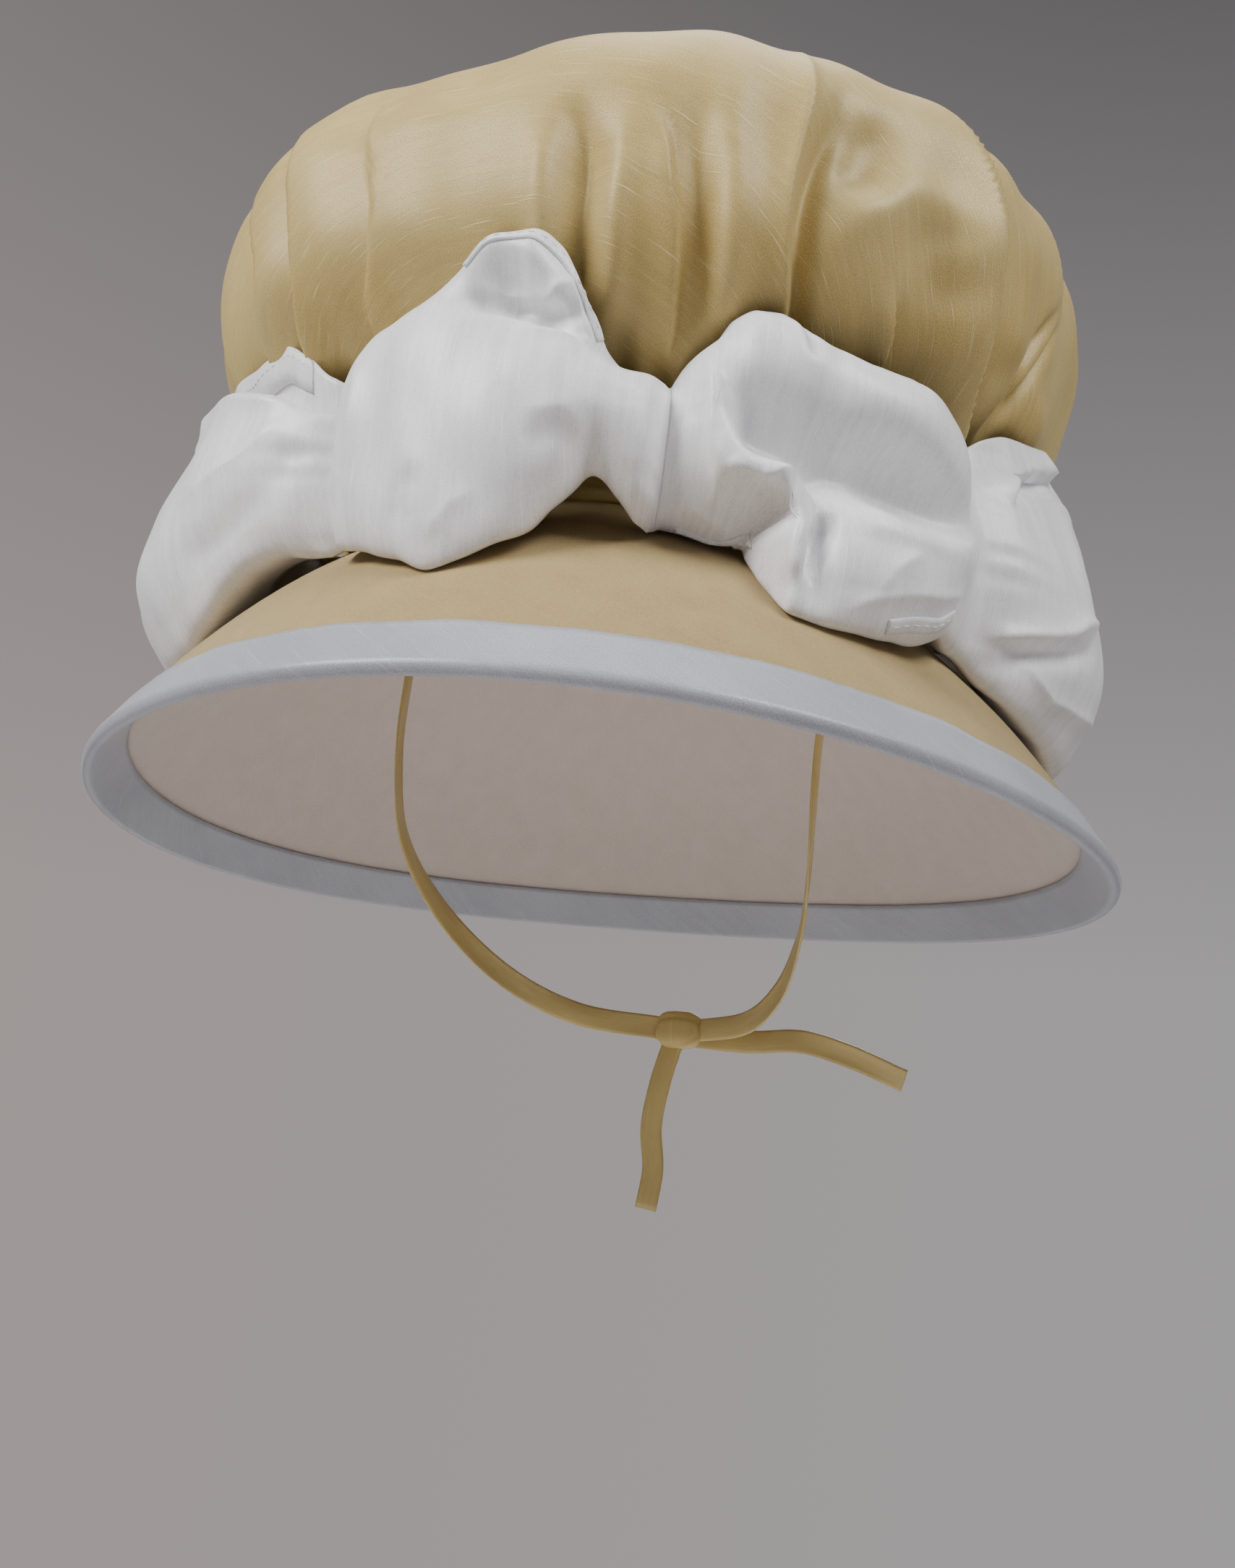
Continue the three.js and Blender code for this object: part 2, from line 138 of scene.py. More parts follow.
# Folds of the crown: kind, size, width and the path from its top to its foot as angle and height. A
# step has its upper sheet on the side that its kind names, and an edge is a ridge with a sharp
# crest.
CROWN_FOLDS = [
    ("step_right", 6, 24, [(-58, 165), (-56, 120), (-55, 85), (-59, 45)]),
    ("step_right", 7, 24, [(-48, 168), (-43, 138), (-39, 112), (-37.4, 92), (-41.4, 69),
                           (-45, 42)]),
    ("step_right", 7, 30, [(-38, 184), (-34.4, 170), (-32.7, 154), (-30.5, 124), (-29.4, 99),
                           (-30, 77), (-33.2, 60), (-36, 38)]),
    ("valley", 3.4, 4, [(-50, 160), (-44.8, 138), (-40.8, 112), (-39.2, 92), (-43.2, 69)]),
    ("valley", 4.4, 5, [(-41, 190), (-36.5, 172), (-34.6, 150), (-33, 128)]),
    ("step_right", 3.4, 34, [(-24, 182), (-20.8, 148), (-17.5, 112), (-16.7, 88), (-20.6, 58),
                             (-23, 36)]),
    ("ridge", 4.5, 6.5, [(3, 144), (3.9, 120), (4.3, 101), (4.7, 75), (4.9, 48)]),
    ("valley", 8.5, 6.5, [(6, 142), (6.9, 127), (8.2, 113), (8.8, 90), (8.7, 71), (7.8, 48)]),
    ("ridge", 4.5, 6, [(11, 136), (12.7, 104), (12.9, 83), (13.2, 65), (13.1, 44)]),
    ("step_left", 5.5, 10, [(11.5, 146), (14.6, 128), (17.0, 116), (18.1, 103), (20.1, 79),
                            (20.9, 63), (21.4, 47), (21.4, 36)]),
    ("valley", 6, 6, [(17.4, 138), (19.4, 120), (21.2, 102), (22.4, 82), (23.2, 64), (23.4, 44)]),
    ("ridge", 6, 9, [(20.5, 176), (22.2, 144), (23, 128), (24.4, 105), (25.4, 82), (26.2, 63),
                     (26.2, 46)]),
    ("edge", 6, 5, [(28.6, 190), (29.7, 166), (30.4, 144), (30.6, 124), (30.7, 105), (31.5, 86),
                    (33, 70), (34.4, 61), (35.2, 42)]),
    ("valley", 8.5, 4.8, [(35.5, 170), (34.2, 146), (33.3, 120), (33.2, 99), (33.9, 82),
                         (35.6, 66), (36.8, 44)]),
    ("valley", 7, 14, [(37, 158), (38.6, 136), (39, 120), (38.6, 104)]),
    ("ridge", 5.5, 12, [(36.8, 62), (36.8, 83), (38.6, 99), (41.6, 113), (45.4, 121), (50, 121),
                        (52.6, 113), (52.4, 102), (50.6, 90)]),
    ("step_left", 6, 8, [(46.2, 86), (47.3, 77), (48.4, 70), (49.2, 64), (50.2, 48)]),
    ("ridge", 3, 12, [(53, 92), (55.6, 80), (57.4, 62)]),
    ("step_left", 7, 22, [(45, 197), (49.4, 182), (52.2, 166), (54, 150), (55.8, 127),
                          (58, 98), (61.4, 73), (65.4, 57), (67, 38)]),
    ("step_left", 8, 15, [(52.6, 176), (54, 150), (55.8, 127), (58, 98), (61.4, 73), (65.4, 57),
                          (67, 38)]),
    ("valley", 7, 3.6, [(78, 142), (76, 127), (73.9, 110), (72.6, 96), (72.9, 80), (73, 56)]),
    ("valley", 6, 3.2, [(81, 144), (79, 126), (77.2, 106), (75.4, 90), (74.2, 66)]),
    ("ridge", 6, 18, [(83, 104), (81, 60)]),
    ("valley", 5, 5, [(57, 156), (58.8, 127), (61, 98), (64.4, 73), (67.6, 56)]),
    ("ridge", 5, 12, [(66, 170), (66.6, 120), (68.5, 80)]),
    ("step_left", 8, 22, [(96, 200), (97, 160), (99, 120), (101, 80), (103, 40)]),
    ("valley", 6, 6, [(110, 165), (108, 120), (106, 80), (107, 40)]),
    ("step_right", 9, 24, [(128, 198), (126, 160), (122, 110), (119, 70), (118, 40)]),
    ("ridge", 4, 10, [(137, 180), (135, 130), (131, 90), (132, 50)]),
    ("step_left", 9, 24, [(144, 196), (146, 150), (151, 100), (154, 60), (155, 38)]),
    ("valley", 7, 5, [(163, 150), (161, 110), (160, 70), (160, 40)]),
    ("step_right", 8, 26, [(178, 200), (175, 150), (172, 110), (169, 70), (168, 40)]),
    ("ridge", 5, 9, [(184, 180), (186, 130), (184, 80), (183, 44)]),
    ("step_left", 9, 24, [(193, 195), (196, 150), (200, 105), (202, 66), (203, 38)]),
    ("valley", 6, 6, [(213, 160), (211, 110), (212, 60), (212, 40)]),
    ("step_right", 9, 24, [(229, 195), (227, 150), (223, 110), (220, 66), (219, 38)]),
    ("ridge", 4, 10, [(240, 180), (239, 130), (236, 80), (235, 44)]),
    ("step_left", 8, 22, [(246, 196), (248, 150), (252, 105), (255, 66), (256, 38)]),
    ("valley", 7, 5, [(266, 150), (264, 110), (262, 70), (262, 40)]),
    ("step_right", 8, 24, [(281, 192), (279, 150), (276, 105), (274, 66), (273, 38)]),
    ("ridge", 4, 12, [(290, 180), (291, 130), (290, 80), (289, 44)]),
]

# The broad dent in front of the crown's top: angle, depth, half angle, the height where it starts
# and the rise in which it comes in
TOP_DENT = (-12, 16, 13, 125, 30)

# Sash: the angles of the pinches that part its puffs in front, the pinches behind (angle, upper and
# lower edge, neck and hem radius), the puffs between those (upper edge and where it peaks, lower
# edge and where it hangs, outer and hem radius) and the shares of such a puff that get a section
FRONT_PINCHES = [-88, -27, 20, 67]
REAR_PINCHES = [
    (119, 38, -20, 174, 150),
    (171, 36, -20, 174, 150),
    (222, 38, -20, 174, 150),
    (272, 38, -20, 174, 148),
]
REAR_PUFFS = [
    (66, 0.5, -68, 0.4, 230, 198),
    (60, 0.6, -60, 0.4, 227, 188),
    (68, 0.4, -64, 0.55, 231, 192),
]
REAR_SHARES = [0, 0.05, 0.14, 0.28, 0.42, 0.58, 0.72, 0.86, 0.95]

# Sash: its wall, the mean radius that its patterns use, the least heights of its lower edge and of
# a rear puff's hem over the brim, a rear puff's gap to the crown and least swell, the length over
# which its folds come in, and the columns over which a length's ends turn square to the axis
SASH_WALL = 1.2
SASH_RADIUS = 215
SASH_SEAT = 3
HEM_SEAT = 5
NECK_GAP = 6
LEAST_SWELL = 4
SASH_FADE_IN = 12
SASH_END_COLUMNS = 7
SASH_FINE_COLUMNS = 3600

# Small wrinkles of the sash: height, stretch upwards, size and seed
SASH_WRINKLES = [(0.8, 1, 60, 31), (0.4, 0.7, 24, 32)]

# Gathers in the pinches: stretch along the sash, size, seed, reach in degrees, height on the side
# that is seen and how much more elsewhere
GATHERS = (0.16, 13, 33, 4.0, 0.4, 1.1)

# Shares of a column's rows, and the places along its section that they reach
SASH_ROW_SHARES = [(0, 0), (0.05, 0.9), (0.94, 7.2), (1, 8)]

# Lengths of the sash: name, first and last angle, columns and rows
SASH_PIECES = [
    ("sash_right_cloth", -88, 19.5, 376, 116),
    ("sash_left_cloth", 19.5, 119, 376, 116),
    ("sash_back_cloth", 119, 272, 470, 58),
]

# Sections of the puffs in front, from the wearer's right to left. Each is an angle, then the radius
# and height of nine places, from the tucked lower edge, over the hem, the belly and the upper fold,
# to the tucked upper edge.
SASH_SECTIONS = [
    (-88, 150, -18, 158, -26, 164, -20, 170, -8, 173, 4, 174, 16, 175, 26, 175, 34, 170, 38),
    (-84, 164, -34, 178, -42, 188, -32, 193, -16, 194, 0, 192, 14, 186, 26, 184, 30, 182, 42),
    (-77, 176, -48, 196, -64, 210, -52, 219, -30, 219, -8, 214, 14, 205, 32, 202, 38, 199, 54),
    (-68, 182, -56, 205, -76, 222, -62, 233, -40, 231, -14, 225, 12, 215, 38, 212, 44, 209, 62),
    (-60, 184, -58, 207, -78, 225, -64, 237, -42, 234, -16, 227, 12, 219, 39, 208, 41, 210, 65),
    (-52, 182, -54, 206, -78, 222, -64, 234, -40, 232, -14, 226, 12, 218, 38, 205, 36, 208, 63),
    (-44, 178, -46, 204, -65, 216, -55, 224, -34, 226, -10, 223, 12, 215, 36, 200, 30, 205, 59),
    (-38, 176, -42, 200, -50, 211, -42, 216, -25, 219, -6, 217, 12, 211, 31, 197, 24, 201, 60),
    (-33, 172, -38, 191, -42, 202, -33, 209, -17, 211, -2, 210, 11, 205, 24, 192, 16, 198, 50),
    (-28, 170, -34, 181, -43, 191, -32, 198, -14, 200, 0, 200, 10, 197, 17, 189, 13, 193, 36),
    (-24.6, 168, -33, 177, -42, 184, -30, 188, -12, 189, 2, 189, 12, 187, 19, 182, 16, 184, 31),
    (-22.2, 168, -36, 180, -44, 185, -30, 187, -12, 188, 4, 188, 16, 186, 27, 182, 36, 177, 38),
    (-20.4, 178, -44, 194, -50, 201, -34, 204, -12, 205, 6, 204, 20, 200, 31, 194, 40, 185, 43),
    (-18.6, 184, -46, 199, -53, 207, -36, 210, -12, 211, 6, 209, 21, 205, 33, 198, 43, 187, 45),
    (-14, 188, -48, 201, -57, 210, -40, 213, -15, 214, 5, 213, 22, 209, 36, 202, 46, 191, 49),
    (-9, 190, -50, 204, -63, 213, -46, 217, -20, 218, 4, 217, 25, 213, 40, 206, 51, 198, 55),
    (-4.5, 190, -53, 207, -71, 214, -50, 219, -20, 219, 6, 217, 27, 211, 44, 212, 59, 205, 63),
    (-1, 190, -51, 206, -66, 214, -44, 219, -16, 219, 10, 214, 31, 207, 45, 218, 62, 212, 71),
    (2.5, 188, -46, 204, -58, 213, -39, 218, -12, 219, 10, 214, 28, 205, 41, 218, 59, 212, 72),
    (5.4, 184, -40, 200, -51, 211, -34, 217, -10, 218, 9, 213, 25, 203, 34, 212, 50, 208, 66),
    (7.6, 180, -22, 197, -41, 209, -30, 216, -10, 217, 8, 213, 22, 205, 28, 206, 38, 206, 53),
    (9.6, 177, -12, 193, -31, 207, -23, 214, -8, 215, 6, 212, 17, 206, 23, 203, 28, 203, 40),
    (11.6, 177, -6, 191, -24, 204, -17, 212, -6, 213, 5, 211, 14, 206, 19, 200, 23, 193, 30),
    (14.5, 174, -12, 189, -31, 202, -23, 209, -9, 210, 2, 208, 11, 203, 16, 196, 21, 186, 25),
    (17, 168, -26, 184, -39, 197, -30, 205, -15, 206, -2, 204, 9, 199, 16, 191, 22, 179, 25),
    (18.6, 162, -28, 177, -39, 190, -30, 198, -15, 199, -1, 197, 9, 192, 17, 184, 24, 172, 27),
    (19.5, 160, -26, 174, -36, 185, -27, 191, -14, 193, 0, 191, 11, 186, 19, 178, 26, 167, 29),
    (20.4, 158, -26, 172, -36, 185, -28, 193, -12, 196, 2, 196, 14, 191, 23, 183, 32, 171, 35),
    (22, 160, -28, 173, -38, 188, -30, 198, -13, 203, 3, 203, 15, 199, 26, 191, 35, 180, 39),
    (24, 162, -29, 174, -39, 187, -32, 199, -16, 206, -2, 207, 14, 205, 27, 199, 38, 188, 43),
    (25.8, 162, -29, 174, -39, 184, -34, 198, -24, 209, -12, 206, 6, 208, 24, 205, 42, 194, 51),
    (28, 162, -29, 174, -39, 183, -35, 196, -29, 211, -18, 197, -3, 211, 24, 211, 43, 201, 53),
    (30.8, 162, -30, 175, -40, 184, -37, 196, -32, 212, -20, 196, -5, 213, 22, 212, 42, 202, 53),
    (32.2, 170, -44, 194, -60, 202, -54, 209, -40, 213, -24, 196, -6, 213, 20, 213, 40, 202, 51),
    (33.8, 176, -52, 206, -73, 212, -60, 214, -46, 212, -31, 196, -9, 213, 18, 213, 38, 202, 50),
    (36, 178, -54, 206, -74, 210, -60, 207, -44, 205, -31, 196, -11, 213, 16, 213, 36, 202, 48),
    (38.5, 180, -56, 207, -75, 215, -59, 217, -42, 213, -28, 196, -9, 214, 14, 214, 35, 202, 47),
    (43, 180, -58, 207, -75, 219, -59, 221, -42, 219, -29, 197, -9, 217, 13, 216, 32, 203, 44),
    (48, 182, -56, 206, -73, 220, -57, 223, -42, 221, -30, 199, -11, 219, 11, 218, 31, 205, 44),
    (52.5, 182, -50, 204, -66, 217, -54, 222, -41, 221, -29, 204, -14, 217, 6, 215, 25, 204, 38),
    (56.5, 180, -42, 200, -59, 211, -46, 217, -33, 216, -22, 208, -11, 210, 3, 208, 18, 200, 30),
    (59.6, 174, -38, 194, -57, 204, -42, 208, -28, 209, -16, 205, -5, 203, 6, 199, 17, 191, 27),
    (62, 172, -38, 192, -57, 201, -42, 204, -25, 204, -8, 201, 4, 198, 14, 193, 22, 188, 34),
    (67, 176, -42, 198, -67, 209, -50, 215, -28, 217, -8, 213, 9, 206, 24, 195, 34, 193, 49),
    (71, 178, -48, 204, -73, 215, -57, 221, -34, 222, -12, 217, 10, 209, 28, 199, 36, 198, 57),
    (76, 180, -60, 205, -76, 219, -62, 227, -42, 226, -16, 221, 8, 214, 31, 204, 38, 202, 61),
    (82, 184, -63, 209, -80, 224, -64, 232, -44, 231, -16, 226, 11, 219, 36, 211, 46, 206, 66),
    (90, 186, -64, 211, -82, 226, -65, 234, -44, 232, -14, 227, 14, 220, 38, 215, 54, 206, 68),
    (99, 184, -62, 206, -78, 222, -62, 230, -40, 230, -12, 226, 14, 219, 36, 213, 53, 203, 62),
    (108, 178, -48, 197, -64, 211, -50, 219, -30, 220, -8, 217, 12, 212, 30, 205, 43, 194, 51),
    (115, 164, -32, 178, -44, 190, -32, 196, -18, 198, -3, 197, 10, 193, 22, 188, 32, 180, 40),
]

# Creases of the sash, written as the crown's folds are
SASH_FOLDS = [
    ("valley", 3, 9, [(-29, 6), (-33, -20), (-38, -36), (-46, -50)]),
    ("edge", 1.6, 6, [(-31, 14), (-38, -6), (-47, -20)]),
    ("valley", 2, 8, [(-48, 26), (-56, 4), (-64, -14)]),
    ("edge", 1.6, 5, [(-20, -36), (-17.5, -12), (-17, 16), (-19, 34)]),
    ("edge", 3.4, 4, [(-66, 34), (-52, 36), (-44, 33), (-36, 26), (-30, 18)]),
    ("valley", 3.6, 4.5, [(-66, 44), (-56, 45.5), (-47, 44), (-39, 40), (-33, 31)]),
    ("step_right", 1.4, 3, [(-66, 54), (-56, 52), (-46, 50), (-38, 50), (-32, 38)]),
    ("edge", 1.6, 6, [(-4.5, -64), (-3, -50), (1, -40)]),
    ("valley", 1.4, 6, [(-8, -60), (-8, -44), (-6, -30)]),
    ("edge", 1.2, 5, [(11.4, -14), (8, -8), (4, -12)]),
    ("valley", 1.4, 6, [(12, -24), (8, -18), (4, -24)]),
    ("edge", 2.6, 3, [(-3.6, 51), (0, 45), (2.2, 45.5), (4.4, 43), (6.4, 48), (7.6, 58)]),
    ("valley", 3, 3.6, [(-5, 47), (-1, 40), (2.6, 39), (5, 39)]),
    ("valley", 2.8, 4, [(3, 37), (5.6, 35), (7.4, 37), (8, 45)]),
    ("edge", 2, 2.6, [(2, 27), (5, 24.5), (7.4, 25.5), (10.4, 28.5)]),
    ("step_left", 1.6, 5, [(6.4, 56), (8.4, 42), (10.2, 28)]),
    ("edge", 3.6, 3, [(23, 26), (23.6, 12), (24.2, -4), (25.2, -13), (26.8, -19.5), (28.8, -22),
                      (30.8, -21.5), (33, -19), (34.8, -21), (35.8, -27), (35.2, -38),
                      (34, -46)]),
    ("valley", 6, 6, [(26, -22), (28.4, -29), (31, -30), (31.4, -44)]),
    ("valley", 5.4, 2.8, [(37.2, -26), (36.4, -38), (35.6, -52), (35.2, -64)]),
    ("edge", 3, 3, [(33.6, -30), (33.4, -48), (33.6, -66)]),
    ("valley", 2.4, 3, [(32.6, 52), (33.4, 40), (34, 28)]),
    ("valley", 1.6, 8, [(38, 10), (44, 6), (50, -2), (55, -14)]),
    ("step_left", 1.1, 3, [(22, -28), (26, -32), (31, -38)]),
    ("edge", 1.4, 5, [(42, -66), (44, -50), (48, -38)]),
    ("valley", 1.6, 7, [(50, -60), (53, -46), (56, -36)]),
    ("edge", 1.8, 3, [(39, -71), (43, -62), (47, -57), (52, -52), (56, -42)]),
    ("step_left", 5.5, 12, [(86, 60), (77, 46), (71, 32), (66.5, 12)]),
    ("edge", 4.5, 4, [(64, -50), (70.8, -42), (74, -38), (78, -27), (84, -18)]),
    ("valley", 4.5, 5, [(66, -56), (72, -49), (77, -43), (82, -32)]),
    ("edge", 2.4, 3, [(70, -54), (72.4, -60), (76, -64), (84, -62), (92, -56)]),
    ("valley", 2.4, 8, [(84, 36), (85, 10), (88, -14)]),
    ("edge", 2, 6, [(96, 46), (98, 20), (104, 0)]),
    ("edge", 3, 5, [(122, 24), (134, 34), (146, 38), (158, 30)]),
    ("valley", 4, 7, [(124, -20), (136, -34), (150, -36), (162, -24)]),
    ("valley", 3, 8, [(140, 50), (141, 24), (137, 0)]),
    ("edge", 2.4, 5, [(150, -50), (152, -30), (158, -10)]),
    ("edge", 3, 5, [(174, 20), (186, 32), (200, 36), (212, 28)]),
    ("valley", 4, 7, [(176, -18), (188, -30), (202, -32), (214, -20)]),
    ("valley", 3, 8, [(196, 44), (194, 20), (198, -4)]),
    ("edge", 2.4, 5, [(186, -48), (190, -28), (186, -10)]),
    ("edge", 3, 5, [(226, 24), (238, 36), (250, 40), (262, 28)]),
    ("valley", 4, 7, [(228, -22), (240, -36), (252, -34), (264, -20)]),
    ("valley", 3, 8, [(244, 52), (246, 26), (243, 2)]),
    ("edge", 2.4, 5, [(252, -52), (250, -32), (254, -12)]),
]

# Turned hems that show on the sash, each a path of angle and height
HEMS = {
    "sash_right_cloth": [[(-66, 57), (-56, 56.5), (-46, 53.5), (-38, 54), (-32, 42)],
                         [(-5, 58), (-2, 64), (1.5, 67), (4.8, 64), (7.2, 54), (9.0, 43),
                          (10.6, 31)]],
    "sash_left_cloth": [[(22, -35.5), (25, -37.5), (28, -38.2), (31, -39)],
                        [(44.5, -71), (48, -67), (51.5, -62), (54, -55)]],
    "sash_back_cloth": [[(126, 50), (138, 56), (150, 54), (163, 42)],
                        [(178, 45), (190, 52), (202, 52), (214, 44)],
                        [(230, 46), (242, 56), (254, 54), (265, 44)]],
}

# A hem's size, and in finding its path the millimetres that a degree counts and the pull outwards
HEM_WIDTH = 6.4
HEM_LIFT = 0.9
HEM_DEGREE = 3.5
HEM_OUTWARD = 0.05

STITCH_STEP = 4.6
STITCH_LENGTH = 2.8
STITCH_WIDTH = 0.6

# Sections as shares: a hem's place across and lift, and a stitch's place along and radius
HEM_SECTION = [(-0.5, 0.8), (-0.25, 1), (0, 1), (0.25, 1), (0.5, 0.8),
               (0.5, 0.05), (0.25, 0.05), (0, 0.05), (-0.25, 0.05), (-0.5, 0.05)]
STITCH_SECTION = [(-0.5, 0.15), (-0.3, 1), (0.3, 1), (0.5, 0.15)]

# Ties: their section, how much it is cupped and over what length the cup changes, and the routes of
# their middle lines
TIE_WIDTH = 12
TIE_WALL = 1.0
TIE_CUP = 1.2
TIE_CUP_LENGTH = 19.0
TIE_RIGHT = [
    (-106.6, -14, -1.5), (-107, -16, -42), (-107, -17, -84), (-101, -10, -124),
    (-86, 16, -158), (-62, 50, -184), (-26, 82, -199), (20, 95, -202),
]
TIE_LEFT = [
    (106.9, -10, -1.5), (107.4, -12, -42), (107, -10, -84), (105, 0, -124),
    (99, 26, -158), (86, 58, -184), (66, 82, -197), (36, 94.6, -202),
]
KNOT_CENTRE = (28, 95, -202)
KNOT_SIZE = (24, 13, 19)
KNOT_FULLNESS = 1.06
TIE_END_LEFT = [(34, 96.4, -204.5), (64, 99, -205), (94, 96, -203), (121, 93, -209),
                (148, 90, -219)]
TIE_END_RIGHT = [(26, 95, -206), (19, 98, -232), (16, 102, -254), (19, 104, -276),
                 (17, 105, -296)]


def ease(low, high, value):
    """A smooth step from 0 to 1 between two edges: 3t^2 - 2t^3 of the share t between them."""
    t = np.clip((value - low) / (high - low), 0, 1)
    return t * t * (3 - 2 * t)


def turn_from(a, b):
    """The angle from b to a, the short way round, in degrees."""
    return (a - b + 180) % 360 - 180


def unit(vectors):
    """Each vector divided by its length."""
    return vectors / np.linalg.norm(vectors, axis=-1, keepdims=True)


def square_to(vectors, axes):
    """The unit vectors of what is left of vectors at right angles to the unit vectors of axes."""
    return unit(vectors - axes * np.sum(vectors * axes, axis=-1, keepdims=True))


def sums(steps):
    """The running sum of some steps, from 0."""
    return np.concatenate([[0], np.cumsum(steps)])


def arc_of(points, axis=0):
    """The running length along lines of points."""
    steps = np.linalg.norm(np.diff(points, axis=axis), axis=-1)
    start = np.zeros_like(np.take(steps, [0], axis=axis))
    return np.concatenate([start, np.cumsum(steps, axis=axis)], axis=axis)


def cubic(knots, values, slopes, x):
    """The curve through values at knots that has the given slopes there. On a span of width w, with
    values a and b and slopes p and q at its ends and t the share along it, it is
    (1 + 2t)(1 - t)^2 a + t(1 - t)^2 wp + t^2(3 - 2t) b + t^2(t - 1) wq."""
    span = np.clip(np.searchsorted(knots, x, side="right") - 1, 0, len(knots) - 2)
    width = knots[span + 1] - knots[span]
    t = (x - knots[span]) / width
    shape = (-1,) + (1,) * (values.ndim - 1)
    t, width = t.reshape(shape), width.reshape(shape)
    start = (1 + 2 * t) * (1 - t) ** 2 * values[span] + t * (1 - t) ** 2 * width * slopes[span]
    end = t * t * (3 - 2 * t) * values[span + 1] + t * t * (t - 1) * width * slopes[span + 1]
    return start + end


def through(knots, values, x):
    """The smooth curve through values at knots, with the slopes that neighbouring points give."""
    knots, values = np.asarray(knots, float), np.asarray(values, float)
    return cubic(knots, values, np.gradient(values, knots, axis=0), x)


def smooth_path(points, step=5.0):
    """Points at about equal steps along the smooth curve through the given ones."""
    points = np.asarray(points, float)
    length = arc_of(points)
    return through(length, points, np.linspace(0, length[-1], max(3, int(length[-1] / step))))


def ellipse(angle, half_width, half_depth, z):
    """Points of an ellipse about the axis: the half width times the sine of the angle, minus the
    half depth times its cosine, and the height."""
    turn = np.radians(angle)
    places = (half_width * np.sin(turn), -half_depth * np.cos(turn), z)
    return np.stack(np.broadcast_arrays(*places), axis=-1)


def ripple(x, y, size, seed, waves=7):
    """A smooth random relief of about -1 to 1 over a plane: the sum of sine waves of about that
    size, in seeded directions and phases."""
    rng = np.random.default_rng(seed)
    total = np.zeros(np.broadcast(x, y).shape)
    for _ in range(waves):
        heading, phase = rng.uniform(0, 2 * np.pi, 2)
        wave = size * rng.uniform(0.7, 1.6)
        total += np.sin((x * np.cos(heading) + y * np.sin(heading)) * 2 * np.pi / wave + phase)
    return total / np.sqrt(waves)


def bell(x, width):
    """The bell exp(-(x / width)^2)."""
    return np.exp(-(x / width) ** 2)


def fold_form(kind, across, width):
    """A fold's height across its path. A ridge or a valley is a bell. An edge falls away from a
    sharp crest as exp(-x / width), a little rounded at the crest. A step is a bell cut at the path,
    high on its upper sheet's side and slightly hollow on the other."""
    if kind == "ridge":
        return bell(across, width)
    if kind == "valley":
        return -bell(across, width)
    if kind == "edge":
        return np.exp(-(np.hypot(across, CREST_ROUND) - CREST_ROUND) / width)
    q = across if kind == "step_right" else -across
    upper = ease(-STEP_BLEND, STEP_BLEND, q)
    hollow = (1 - upper) * STEP_HOLLOW * bell(q, STEP_HOLLOW_WIDTH * width)
    return upper * bell(np.maximum(q, 0), width) - hollow


def fold_relief(folds, angle, height, radius, fade_in):
    """The relief that folds press into a surface, over a chart whose two axes are angle times
    radius, and height. The nearest point of a fold's path gives the distance across it, positive to
    the right of a path that runs down, and the length along it, which fades both ends."""
    relief = np.zeros_like(height)
    arc = math.pi / 180 * radius
    for kind, size, width, path in folds:
        path = smooth_path(path)
        lengths = np.linalg.norm(np.diff(path * PATH_SCALE, axis=0), axis=1)
        total = lengths.sum()
        middle = (path[:, 0].min() + path[:, 0].max()) / 2
        reach = max(4 * width, FOLD_REACH)
        half = np.ptp(path[:, 0]) / 2 + np.degrees(reach / radius.min())
        near = np.flatnonzero(np.abs(turn_from(angle, middle)) < half)
        x0 = turn_from(angle[near], middle)[None, :]
        y0, scale = height[:, near], arc[:, near]
        best = np.full(y0.shape, np.inf)
        across, along = np.zeros(y0.shape), np.zeros(y0.shape)
        done = 0.0
        for (a0, h0), (a1, h1), length in zip(path[:-1], path[1:], lengths):
            x, y = (x0 - turn_from(a0, middle)) * scale, y0 - h0
            run, rise = (a1 - a0) * scale, h1 - h0
            t = np.clip((x * run + y * rise) / (run ** 2 + rise ** 2), 0, 1)
            gap = np.hypot(x - t * run, y - t * rise)
            nearer = gap < best
            side = np.sign(run * y - rise * x)
            best = np.where(nearer, gap, best)
            across = np.where(nearer, gap * side, across)
            along = np.where(nearer, done + t * length, along)
            done += length
        fade = ease(0, min(fade_in, total / 2.4), along)
        fade = fade * ease(0, min(FADE_OUT, total / 3), total - along)
        relief[:, near] += size * fold_form(kind, across, width) * fade
    return relief


def outward(points, closed=True):
    """The unit normals of a grid of rows and columns: the cross of its two directions."""
    if closed:
        along = np.roll(points, -1, axis=1) - np.roll(points, 1, axis=1)
    else:
        along = np.gradient(points, axis=1)
    normal = np.cross(along, np.gradient(points, axis=0))
    return normal / np.maximum(np.linalg.norm(normal, axis=-1, keepdims=True), 1e-9)


